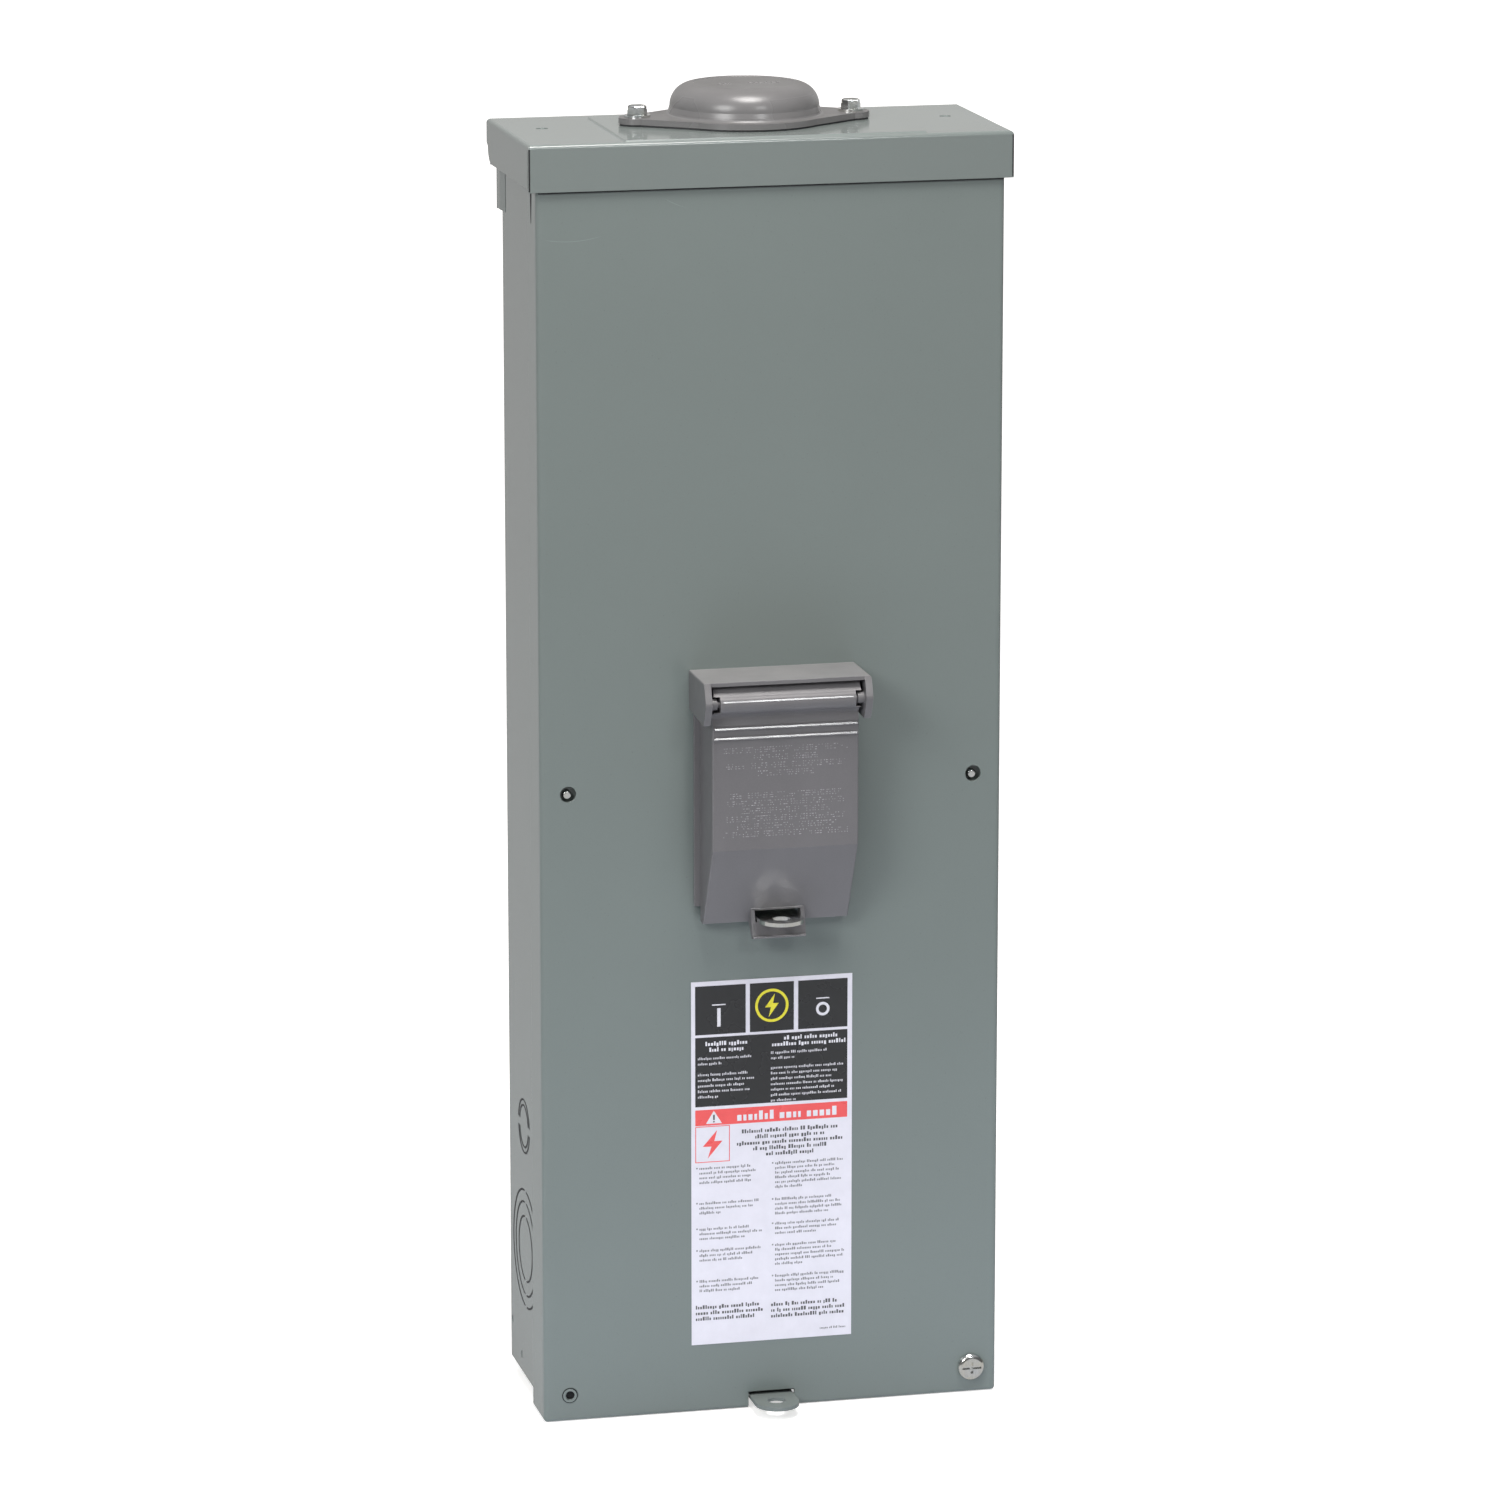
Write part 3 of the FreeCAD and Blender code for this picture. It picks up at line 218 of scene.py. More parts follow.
def scratch(g, centre, radius, start, end, width):
    """A hairline on the lower arc about centre (x, z), from x = start to x = end; all in metres."""
    split = g.add("SeparateXYZ")
    g.put(split, 0, g.point)
    across = g.maths("SUBTRACT", split.outputs["X"], centre[0])
    up = g.maths("SUBTRACT", split.outputs["Z"], centre[1])
    squares = g.maths("ADD", g.maths("MULTIPLY", across, across), g.maths("MULTIPLY", up, up))
    off = g.maths("ABSOLUTE", g.maths("SUBTRACT", g.maths("SQRT", squares), radius))
    line = g.ramp(off, width * 0.4, width, 1.0, 0.0)
    begins = g.ramp(split.outputs["X"], start, start + 4 * MM)
    ends = g.ramp(split.outputs["X"], end - 6 * MM, end, 1.0, 0.0)
    below = g.ramp(split.outputs["Z"], centre[1] - radius * 2, centre[1], 1.0, 0.0)
    return g.maths("MULTIPLY", g.maths("MULTIPLY", line, g.maths("MULTIPLY", begins, ends)), below)


def moulded(name, colour, grain=1500, height=3e-6, gloss=0.36, fleck=0.0, sheen=1.12, ease=0.3,
            wave=2e-5, dust_and_top_shading=0.0):
    """Moulded plastic: spark-eroded grain, faint flow marks, and edges painted paler as a sheen."""
    g = Graph(name)
    flow = g.noise(34, 3, 0.6, stretch=(1.0, 1.0, 0.3), seed=1)
    tone = g.mix(g.ramp(flow, 0.3, 0.7), shade(colour, 0.94), shade(colour, 1.06))
    tone = g.mix(g.ramp(g.noise(grain * 1.4, 1), 0.35, 0.7, 0, 0.16), tone, shade(colour, 1.45))
    if fleck:
        flecks = g.noise(1300, 0, stretch=(1, 0.25, 1), seed=7)
        tone = g.mix(g.ramp(flecks, 0.66, 0.74, 0, fleck), tone, shade(colour, 2.6))
    # Edges lightened as a painted sheen
    tone = g.mix(g.maths("MULTIPLY", g.edges(0.7 * MM), 0.4), tone, shade(colour, 1.0 + sheen))
    # Upward faces take the pale grey: dust, and painted light where the amount is large, as on the
    # housing's roof
    if dust_and_top_shading:
        tone = g.mix(g.dust_and_top_shading(dust_and_top_shading), tone, DUST_AND_TOP_LIGHT_GREY)
    rough = g.ramp(g.noise(48, 4, 0.6, seed=3), 0.3, 0.7, gloss - 0.04, gloss + 0.06)
    g.bumps((g.noise(grain, 2, 0.6, seed=2), height), (g.noise(45, 2, seed=6), wave), ease=ease * MM)
    return g.finish(tone, rough)


def metal(name, first, second, gloss=0.22, streak=(1, 1, 1), height=2.5e-6, tarnish=None, cells=0):
    """Bare or plated metal: drawn streaks, patchy tint, small dents, and spangle where cells is set."""
    g = Graph(name, metallic=1.0)
    tint = g.noise(120, 3, 0.6, seed=1)
    tone = g.mix(g.ramp(tint, 0.35, 0.65), first, second)
    lines = g.noise(900, 3, 0.7, stretch=streak, seed=4)
    tone = g.mix(g.ramp(lines, 0.3, 0.75, 0, 0.35), tone, shade(first, 0.62))
    rough = g.ramp(g.noise(75, 4, 0.6, seed=8), 0.3, 0.7, gloss - 0.05, gloss + 0.1)
    if cells:
        spangle = g.cells(cells)
        level = g.add("RGBToBW")
        g.put(level, 0, spangle)
        tone = g.mix(g.ramp(level.outputs[0], 0.1, 0.9, 0, 0.7), tone, shade(second, 0.7))
        rough = g.maths("ADD", rough, g.ramp(level.outputs[0], 0.1, 0.9, -0.05, 0.16))
    if tarnish:
        stain = g.ramp(g.noise(38, 5, 0.65, seed=11), 0.42, 0.68, 0.0, 0.75)
        tone = g.mix(stain, tone, tarnish)
        rough = g.maths("ADD", rough, g.maths("MULTIPLY", stain, 0.18))
    g.bumps((lines, height), (g.noise(210, 2, seed=5), height * 6))
    return g.finish(tone, rough)


def foam(name, colour):
    """Closed-cell foam strip."""
    g = Graph(name)
    skin = g.cells(1400, "Distance")
    tone = g.mix(g.ramp(skin, 0.0, 0.6), shade(colour, 0.55), shade(colour, 1.3))
    tone = g.mix(g.ramp(g.noise(90, 3), 0.4, 0.7, 0, 0.4), tone, shade(colour, 1.6))
    g.bumps((skin, 1.2e-4), (g.noise(300, 2), 5e-5), ease=0.4 * MM)
    return g.finish(tone, g.ramp(g.noise(200, 2), 0.3, 0.7, 0.85, 0.97))


def fibre(name, colour):
    """Vulcanised fibre sheet: mottled, with long fibres."""
    g = Graph(name)
    strands = g.noise(500, 4, 0.7, stretch=(1, 1, 0.15))
    tone = g.mix(g.ramp(strands, 0.3, 0.7), shade(colour, 0.6), shade(colour, 1.35))
    g.bumps((strands, 1.5e-5))
    return g.finish(tone, g.ramp(strands, 0.3, 0.7, 0.5, 0.72))


def printed(name, colour, gloss=0.30, dropout=0.0):
    """Film or ink of a printed label: paper-like mottling, pinholes and a slightly wavy satin face."""
    g = Graph(name)
    mottling = g.ramp(g.noise(110, 4, 0.65, seed=2), 0.3, 0.7)
    pinholes = g.ramp(g.noise(3200, 1, seed=3), 0.30, 0.72, 0, 0.07)
    tone = g.mix(mottling, shade(colour, 0.955), shade(colour, 1.03))
    tone = g.mix(pinholes, tone, shade(colour, 0.55))
    if dropout:
        gaps = g.ramp(g.noise(1500, 2, seed=6), 0.66, 0.74, 0, dropout)
        tone = g.mix(gaps, tone, (0.75, 0.74, 0.78))
    rough = g.ramp(g.noise(60, 3, seed=4), 0.3, 0.7, gloss - 0.03, gloss + 0.07)
    g.bumps((g.noise(42, 2, seed=5), 5e-5), (g.noise(1800, 1), 2e-6))
    return g.finish(tone, rough)


# Centre (x, z), radius, first and last x, and width of each hairline
COVER_SCRATCHES = (((-0.104, 0.345), 0.0615, -0.1165, -0.0865, 0.22 * MM),
                   ((-0.030, 0.345), 0.0485, -0.0560, -0.0430, 0.20 * MM))

MATERIALS = {
    "painted_shell": painted("paint_shell", (0.176, 0.203, 0.196), ease=0.3),
    "painted_cover": painted("paint_cover", (0.171, 0.201, 0.193), ease=0.3, marks=COVER_SCRATCHES),
    # The near-black tint at half strength on the hub cap's upward faces is painted shade on its top
    "painted_hub": painted("paint_hub", (0.160, 0.158, 0.160), peel=6e-6, gloss=0.27, wear=0.2,
                           settled_dust_and_shade=((0.065, 0.06, 0.055), 0.5)),
    "flap_plastic": moulded("flap_plastic", (0.149, 0.145, 0.152), height=1.5e-6, gloss=0.36, ease=0.0,
                            wave=6e-6, dust_and_top_shading=0.05),
    "zinc_steel": metal("zinc", (0.74, 0.77, 0.80), (0.80, 0.79, 0.72), gloss=0.17, streak=(1, 1, 0.2)),
    "galvanised": metal("galvanised", (0.60, 0.62, 0.63), (0.70, 0.71, 0.71), gloss=0.36, cells=95),
    "case_plastic": moulded("case_plastic", (0.020, 0.020, 0.022), grain=1100, height=9e-6, gloss=0.46,
                            fleck=0.25),
    "handle_plastic": moulded("handle_plastic", (0.016, 0.016, 0.017), grain=1900, height=4e-6,
                              gloss=0.34),
    "insulator_plastic": moulded("insulator_plastic", (0.62, 0.58, 0.47), grain=1300, gloss=0.40,
                                 sheen=0.2),
    "lug_aluminium": metal("lug_aluminium", (0.76, 0.77, 0.78), (0.70, 0.71, 0.72), gloss=0.30,
                           streak=(1, 1, 0.06), height=5e-6),
    "copper": metal("copper", (0.78, 0.39, 0.24), (0.86, 0.46, 0.30), gloss=0.26, streak=(1, 1, 0.1),
                    tarnish=(0.30, 0.15, 0.10)),
    "silver_contact": metal("silver_contact", (0.84, 0.83, 0.80), (0.72, 0.71, 0.69), gloss=0.33),
    "chute_fibre": fibre("chute_fibre", (0.21, 0.085, 0.05)),
    "foam": foam("foam", (0.045, 0.045, 0.048)),
    "label_film": printed("label_film", (0.71, 0.695, 0.76)),
}

# Nodes whose finish differs from the rest of their slot
OWN_FINISH = {
    # The housing's strong pale top tint is dust plus painted light on its roof
    "flap_housing": moulded("housing_plastic", (0.150, 0.147, 0.153), gloss=0.34, ease=0.4, dust_and_top_shading=0.32),
}
POLISHED = moulded("polished_plastic", (0.150, 0.146, 0.153), height=0.6e-6, gloss=0.14, ease=0.0,
                   wave=1.5e-6)
# Paler plastic for the flap's moulded dots: a painted highlight for the light that the tiny domes would
# catch
HIGHLIGHT_PLASTIC = moulded("painted_highlight_plastic", (0.27, 0.265, 0.275), gloss=0.25)
# Near-black sheet for painted shade in the open joints, slits and spare hole
GAP_SHADE = foam("gap_painted_shade", (0.016, 0.017, 0.018))
# Dark sheet for painted shade in the knockout rings' open arcs
KNOCKOUT_SHADE = foam("knockout_painted_shade", (0.035, 0.036, 0.036))
INKS = {
    "black": printed("ink_black", (0.028, 0.029, 0.031), gloss=0.24),
    "grey": printed("ink_grey", (0.20, 0.20, 0.215), dropout=0.25),
    "dark": printed("ink_dark", (0.085, 0.085, 0.09), dropout=0.15),
    "red": printed("ink_red", (0.80, 0.10, 0.10), gloss=0.26),
    "white": printed("ink_white", (0.72, 0.71, 0.76)),
    "pale": printed("ink_pale", (0.56, 0.55, 0.59)),
    "yellow": printed("ink_yellow", (0.80, 0.72, 0.045)),
}


# CAD nodes

slots = {part["node"]: part["material_slot"] for part in frame["record"]["subparts"]}
for name, node in frame["nodes"].items():
    node.data.materials.clear()
    node.data.materials.append(OWN_FINISH.get(name, MATERIALS[slots[name]]))


# New pieces

def piece(name, body, material, mesh_maker, smooth=False):
    """A new object, with the mesh that mesh_maker builds, that rides on a body."""
    mesh = bpy.data.meshes.new(name)
    bm = bmesh.new()
    mesh_maker(bm)
    bmesh.ops.recalc_face_normals(bm, faces=bm.faces)
    bm.to_mesh(mesh)
    bm.free()
    for polygon in mesh.polygons:
        polygon.use_smooth = smooth
    mesh.materials.append(material)
    made = bpy.data.objects.new(name, mesh)
    bpy.context.scene.collection.objects.link(made)
    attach(made, body)


def band(bm, first, second):
    """Faces between two closed rings with as many points."""
    for index in range(len(first)):
        after = (index + 1) % len(first)
        bm.faces.new((first[index], first[after], second[after], second[index]))


def prism(bm, ends):
    """A solid between two matching outlines of points (x, y, z) in mm."""
    rings = [[bm.verts.new([value * MM for value in point]) for point in end] for end in ends]
    for ring in rings:
        bm.faces.new(ring)
    band(bm, *rings)


def raised(bm, outline, rear, front, inset=0.0):
    """A prism on the upright plane: outline holds (x, z), rear and front are y, all in mm."""
    spots = [Vector(spot) for spot in outline]
    middle = sum(spots, Vector((0, 0))) / len(spots)
    ends = []
    for y, shrink in ((rear, 0.0), (front, inset)):
        drawn = [spot + (middle - spot).normalized() * shrink for spot in spots]
        ends.append([(spot.x, y, spot.y) for spot in drawn])
    prism(bm, ends)


def box_outline(left, top, right, bottom):
    return [(left, bottom), (right, bottom), (right, top), (left, top)]


def circle(x, z, radius, steps):
    angles = [2 * math.pi * step / steps for step in range(steps)]
    return [(x + radius * math.cos(angle), z + radius * math.sin(angle)) for angle in angles]


def ring_at(bm, outline, y):
    """New points at each (x, z) of an outline, all at one y, in mm."""
    return [bm.verts.new((x * MM, y * MM, z * MM)) for x, z in outline]


def flat_ring(bm, x, z, outer, inner, rear, front, steps=40):
    """A flat ring on the upright plane."""
    corners = ((outer, rear), (outer, front), (inner, front), (inner, rear))
    loops = [ring_at(bm, circle(x, z, radius, steps), y) for radius, y in corners]
    for index, loop in enumerate(loops):
        band(bm, loop, loops[(index + 1) % len(loops)])


# Letters, as shares of the height of their line
LETTER_WIDTHS = (0.26, 0.50)
LETTER_GAP, WORD_GAP = 0.20, 0.42
LETTER_TOP, TALL_TOP, TAIL_FOOT = 0.60, 0.92, -0.2
TALL_FROM, TAIL_BELOW = 0.74, 0.10


def greeked(rng, left, right, height, share, centre):
    """Meaningless letter-sized blocks, grouped as words: (left, right, low, high) above the line's foot."""
    limit = (right - left) * share
    spans, cursor = [], 0.0
    while cursor < limit - height:
        for _ in range(rng.randint(2, 9)):
            width = height * rng.uniform(*LETTER_WIDTHS)
            if cursor + width > limit:
                break
            kind = rng.random()
            low = TAIL_FOOT if kind < TAIL_BELOW else 0.0
            high = TALL_TOP if kind > TALL_FROM else LETTER_TOP
            spans.append((cursor, cursor + width, low * height, high * height))
            cursor += width + height * LETTER_GAP
        cursor += height * WORD_GAP
    shift = left
    if centre:
        shift += (right - left - spans[-1][1]) / 2
    return [(first + shift, last + shift, low, high) for first, last, low, high in spans]


# Label: places are distances in mm from its left and top edges

film_low, film_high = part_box("cover_label")
FILM_LEFT, FILM_TOP, FILM_FACE = film_low.x / MM, film_high.z / MM, film_low.y / MM
INK, LAP = 0.03, 0.01

SIGN_PANELS = [(2.1, 2.4, 28.7, 28.2), (30.9, 2.4, 54.1, 28.2), (56.4, 2.4, 82.5, 28.2)]
NOTICE_PANEL = (2.1, 29.6, 82.5, 66.4)
WARNING_BAR = (2.1, 68.1, 82.5, 76.5)
PICTOGRAM_FRAME, FRAME_WIDTH = (2.1, 76.9, 20.3, 96.2), 0.4
ON_BAR, OFF_RING = (13.7, 14.4, 15.5, 24.2), (69.4, 18.0, 3.6, 2.2)
SIGN_RULES = [(11.0, 12.3, 18.2, 12.9), (65.9, 12.0, 72.9, 12.6)]
WARNING_TRIANGLE = [(7.7, 75.6), (16.1, 75.6), (11.9, 68.8)]
TRIANGLE_SIGN = [(11.45, 70.9, 12.35, 73.7), (11.45, 74.2, 12.35, 75.0)]
EMBLEM_CENTRE, EMBLEM_RADII = (42.5, 14.6), (8.8, 7.4)
EMBLEM_BOLT = [(1.6, -6.2), (-3.6, 0.9), (-0.5, 0.9), (-1.7, 6.2), (3.6, -1.1), (0.6, -1.1)]
PICTOGRAM_CENTRE = (11.2, 86.6)
PICTOGRAM_BOLT = [(2.4, -7.4), (-5.2, 1.2), (-0.6, 1.2), (-2.6, 7.6), (5.2, -1.6), (0.9, -1.6)]
# Columns of small print: left, right, and the top and line count of each paragraph
SMALL_PRINT = ((4.2, 39.5, ((99.9, 4), (118.7, 3), (132.5, 3), (144.1, 3), (160.6, 3))),
               (44.3, 82.0, ((99.5, 6), (118.9, 4), (132.0, 3), (143.5, 5), (160.2, 4))))


def on_label(left, top, right, bottom):
    return box_outline(FILM_LEFT + left, FILM_TOP - top, FILM_LEFT + right, FILM_TOP - bottom)


def shape_on_label(points, right=0.0, down=0.0):
    return [(FILM_LEFT + right + u, FILM_TOP - down - v) for u, v in points]


def ink_level(level):
    """The rear and front y of a layer of ink, which laps a little into the layer below."""
    rear = FILM_FACE + LAP - level * INK
    return rear, rear - INK - LAP


def label_blocks(rectangles, level=0):
    """A mesh maker for rectangles (left, top, right, bottom) in a layer of ink."""
    def blocks(bm):
        for spot in rectangles:
            raised(bm, on_label(*spot), *ink_level(level))
    return blocks


def frame_sides(left, top, right, bottom, width):
    return [(left, top, right, top + width), (left, bottom - width, right, bottom),
            (left, top + width, left + width, bottom - width),
            (right - width, top + width, right, bottom - width)]


def print_rows(left, right, top, pitch, height, shares, centre=False):
    """Lines one below the other: (left, right, foot, height, share of the width, centred)."""
    return [(left, right, top + pitch * row, height, share, centre) for row, share in enumerate(shares)]


def label_lines(rng, rows, level=0):
    spots = []
    for left, right, foot, height, share, centre in rows:
        for first, last, low, high in greeked(rng, left, right, height, share, centre):
            spots.append((first, foot - high, last, foot - low))
    return label_blocks(spots, level)


def label_piece(name, ink, mesh_maker):
    piece(name, "cover", INKS[ink], mesh_maker)


def notice_text(rng):
    """White headings and paler print on the black notice panel."""
    heads = print_rows(5, 32, 34.1, 3.2, 2.4, (0.95, 0.7), True)
    heads += print_rows(44, 82, 33.2, 0, 2.4, (0.8,), True)
    heads += print_rows(42, 82, 36.4, 0, 2.4, (1.0,), True)
    body = print_rows(3.5, 34, 41.4, 2.8, 1.5, (0.95, 0.42))
    body += print_rows(42, 80, 40.4, 2.8, 1.5, (0.78, 0.34))
    body += print_rows(3.5, 34, 50.0, 2.95, 1.55, (0.90, 0.98, 0.80, 0.96, 0.36))
    body += print_rows(42, 81, 48.4, 2.9, 1.5, (1.0, 0.92, 0.84, 1.0, 0.88, 0.96, 0.36))
    label_piece("label_white_heads", "white", label_lines(rng, heads, 1))
    label_piece("label_pale_text", "pale", label_lines(rng, body, 1))


def white_signs(rng):
    """The line for on, the ring for off, and the warning triangle with its heading."""
    def signs(bm):
        for spot in [ON_BAR, *SIGN_RULES]:
            raised(bm, on_label(*spot), *ink_level(1))
        u, v, outer, inner = OFF_RING
        flat_ring(bm, FILM_LEFT + u, FILM_TOP - v, outer, inner, *ink_level(1))
        raised(bm, shape_on_label(WARNING_TRIANGLE), *ink_level(1))
        for first, last, low, high in greeked(rng, 23, 78, 5.2, 1.0, True):
            raised(bm, on_label(first, 75.0 - high, last, 75.0 - low), *ink_level(1))
    label_piece("label_white_signs", "white", signs)


def emblem(bm):
    """A generic lightning sign in a ring."""
    u, v = EMBLEM_CENTRE
    flat_ring(bm, FILM_LEFT + u, FILM_TOP - v, *EMBLEM_RADII, *ink_level(1), 56)
    raised(bm, shape_on_label(EMBLEM_BOLT, u, v), *ink_level(1))


def pictogram(bm):
    raised(bm, shape_on_label(PICTOGRAM_BOLT, *PICTOGRAM_CENTRE), *ink_level(0))


def dark_text(rng):
    dark = print_rows(22, 82, 81.9, 3.15, 2.3, (0.86, 0.62, 0.99, 0.66, 0.42), True)
    dark += print_rows(2.2, 39, 174.9, 3.1, 2.2, (0.92, 1.0, 0.9))
    dark += print_rows(42.2, 82, 175.9, 3.1, 2.2, (0.96, 1.0, 0.98))
    label_piece("label_dark_text", "dark", label_lines(rng, dark))
    label_piece("label_dark_sign", "dark", label_blocks(TRIANGLE_SIGN, 2))


def grey_text(rng):
    """Two columns of dotted paragraphs, each with a shorter last line, and a code in the corner."""
    small, dots = [], []
    for left, right, groups in SMALL_PRINT:
        for top, count in groups:
            dots.append((left - 1.7, top - 1.2, left - 0.9, top - 0.4))
            shares = [rng.uniform(0.78, 1.0) for _ in range(count - 1)] + [rng.uniform(0.35, 0.8)]
            small += print_rows(left, right, top, 2.55, 1.55, shares)
    small += print_rows(68.2, 82.4, 190.1, 0, 1.3, (1.0,))
    label_piece("label_grey_text", "grey", label_lines(rng, small))
    label_piece("label_grey_dots", "grey", label_blocks(dots))


label_rng = random.Random(41)
label_piece("label_black", "black", label_blocks([*SIGN_PANELS, NOTICE_PANEL]))
label_piece("label_red", "red", label_blocks([WARNING_BAR, *frame_sides(*PICTOGRAM_FRAME, FRAME_WIDTH)]))
notice_text(label_rng)
white_signs(label_rng)
label_piece("label_yellow_emblem", "yellow", emblem)
label_piece("label_red_pictogram", "red", pictogram)
dark_text(label_rng)
grey_text(label_rng)


# Flap: moulded marks, polished ribs and the swelling above its tab

FILM_THICKNESS, FLAP_OUT = 0.25, 30.0
COVER_FACE = FILM_FACE + FILM_THICKNESS
FLAP_FACE = COVER_FACE - FLAP_OUT
BEND_Z, FOOT_Z, FOOT_OUT = -25.0, -68.0, 8.0

DOME_SIDES = 8
# Share of a dome's radius, and of its height, at each ring
DOME_RINGS = ((1.0, -0.02), (0.72, 0.62), (0.36, 0.92))

# Bars across the flap: height, distance in front of the cover, half length and size. They are
# the two ribs, the rims below and above the tab, and the parting line on the barrel.
RIBS = (
    (33.0, FLAP_OUT, 36.9, 1.0),
    (38.0, FLAP_OUT, 36.9, 1.0),
    (-74.4, 16.8, 13.9, 0.8),
    (-60.3, 12.2, 13.6, 0.5),
    (53.01, 35.87, 33.6, 0.9),
)
RIB_PROFILE = ((-0.1, 0.95), (0.64, 0.72), (0.95, -0.08), (0.72, -0.72), (-0.1, -0.86))


def slope_face(z):
    """The y of the flap's lower, slanting face at height z, in mm."""
    share = (BEND_Z - z) / (BEND_Z - FOOT_Z)
    return FLAP_FACE + share * (COVER_FACE - FOOT_OUT - FLAP_FACE)


def dome(bm, x, z, radius, height):
    """A low round dome on the flap's front face."""
    rings = [ring_at(bm, circle(x, z, radius * share, DOME_SIDES), FLAP_FACE - height * rise)
             for share, rise in DOME_RINGS]
    for outer, inner in zip(rings, rings[1:]):
        band(bm, outer, inner)
    apex = ring_at(bm, [(x, z)], FLAP_FACE - height)[0]
    for step in range(DOME_SIDES):
        bm.faces.new((rings[-1][step], rings[-1][(step + 1) % DOME_SIDES], apex))


def flap_marks(bm):
    """Ten rows of small raised dots in place of the moulded lettering, paler than the flap as a painted
    highlight.
    """
    rng = random.Random(12)
    rows = [(25.6 - 4.1 * row, share) for row, share in enumerate((0.98, 0.56, 0.95, 0.44))]
    rows += [(2.0 - 4.0 * row, share) for row, share in enumerate((0.88, 0.92, 0.70, 0.94, 0.82, 0.98))]
    for foot, share in rows:
        for first, last, _, _ in greeked(rng, -33, 33, 2.8, share, True):
            corners = [(x, rise) for rise in (0, 1.15, 2.3) for x in (first, last)]
            for x, rise in corners:
                if rng.random() < 0.5:
                    dome(bm, x, foot + rise, rng.uniform(0.22, 0.32), rng.uniform(0.10, 0.16))


def rib_faces(bm):
    """Bars with a bevelled upper face."""
    for height, out, reach, size in RIBS:
        face = COVER_FACE - out
        prism(bm, [[(x, face - forward * size, height + rise * size) for forward, rise in RIB_PROFILE]
                   for x in (-reach, reach)])


def eased(share):
    """A share from 0 to 1 with a soft start and end."""
    share = min(max(share, 0.0), 1.0)
    return share * share * (3 - 2 * share)


def tab_swell(bm):
    """A soft ramp that leads the slanting face into the tab, with a shallow ejector ring above it."""
    top, length, half_width, swell = -45.0, 16.2, 16.0, 0.6
    ring_x, ring_z, ring_radius, ring_half, ring_rise = 0.6, -51.5, 2.6, 0.35, 0.07
    columns, rows = 48, 30
    grid = []
    for row in range(rows + 1):
        z = top - length * row / rows
        grown = eased((top - z) / 15.0)
        half = 8.5 + 6.8 * grown
        line = []
        for column in range(columns + 1):
            x = half_width * (2 * column / columns - 1)
            rise = swell * grown ** 1.5 * eased((half - abs(x)) / 7.5)
            off_ring = abs(math.hypot(x - ring_x, z - ring_z) - ring_radius)
            ring = max(0.0, 1 - off_ring / ring_half) * ring_rise
            line.append(bm.verts.new((x * MM, (slope_face(z) + 0.03 - rise - ring) * MM, z * MM)))
        grid.append(line)
    for upper, lower in zip(grid, grid[1:]):
        for column in range(columns):
            bm.faces.new((upper[column], upper[column + 1], lower[column + 1], lower[column]))


piece("flap_moulded_marks", "flap", HIGHLIGHT_PLASTIC, flap_marks, smooth=True)
piece("flap_rib_faces", "flap", POLISHED, rib_faces)
piece("flap_tab_swell", "flap", MATERIALS["flap_plastic"], tab_swell, smooth=True)


# Painted shade in the open joints, grooves and spare hole of the sheet metal, with the hood's tab returns
# and the eyelet, in mm

HOOD_CORNER_X, CORNER_GAP_HALF = 124.05, 0.42
CORNER_GAP_REAR, CORNER_GAP_FRONT = -106.4, -107.86
CORNER_GAP_FOOT, CORNER_GAP_TOP = 309.2, 330.4
LIP_HALF, LIP_FOOT, LIP_TOP = 119.6, 307.85, 308.62
LIP_REAR, LIP_FRONT = COVER_FACE - 0.2, COVER_FACE - 1.2
SLIT = ((-95.0, 308.2), (-91.4, 308.2), (-92.8, 291.5), (-93.6, 291.5))
SLIT_X = (120.35, 120.58)
GROOVE_X = (117.9, 118.6)
BRIDGE_HALF = 2.2
# Knockouts: y, z, the angle of the metal bridge across the rings, and the rings' radii
KNOCKOUTS = ((-48, -188, 0, (11.1, 14.1)), (-50, -254, 90, (17.3, 25.0, 31.4)))
RETURN = ((119.48, -1.5), (119.48, -8.0), (118.56, -19.0), (118.56, -1.5))
RETURN_Z = (286.4, 309.0)
# Centre of the eyelet's parts, half a millimetre left of the hole that they mark
EYELET_CENTRE = (-107.0, -317.0)
EYELET_RADII, EYELET_LEVELS = (3.6, 2.45), (COVER_FACE + 0.3, COVER_FACE - 0.45)
SHADOW_RADII, SHADOW_LEVELS = (4.1, 3.6), (COVER_FACE + 0.1, COVER_FACE - 0.06)
# Dark disc of painted shade behind the spare hole
HOLE_SHADE_RADIUS, HOLE_SHADE_LEVELS = 2.9, (COVER_FACE + 2.4, COVER_FACE + 1.6)


def corner_gap_shade(bm):
    """Painted shade: dark strips in the open joints where the hood's side and front flanges meet."""
    for side in (-1, 1):
        middle = side * HOOD_CORNER_X
        outline = box_outline(middle - CORNER_GAP_HALF, CORNER_GAP_TOP, middle + CORNER_GAP_HALF,
                              CORNER_GAP_FOOT)
        raised(bm, outline, CORNER_GAP_REAR, CORNER_GAP_FRONT)


def lip_gap_shade(bm):
    """Painted shade: a dark strip in the gap between the cover and the hood's lip."""
    raised(bm, box_outline(-LIP_HALF, LIP_TOP, LIP_HALF, LIP_FOOT), LIP_REAR, LIP_FRONT)


def flange_slit_shade(bm):
    """Painted shade: dark wedges for the tapering relief cuts in the cover's side flanges, just below the
    hood.
    """
    for side in (-1, 1):
        prism(bm, [[(side * x, y, z) for y, z in SLIT] for x in SLIT_X])


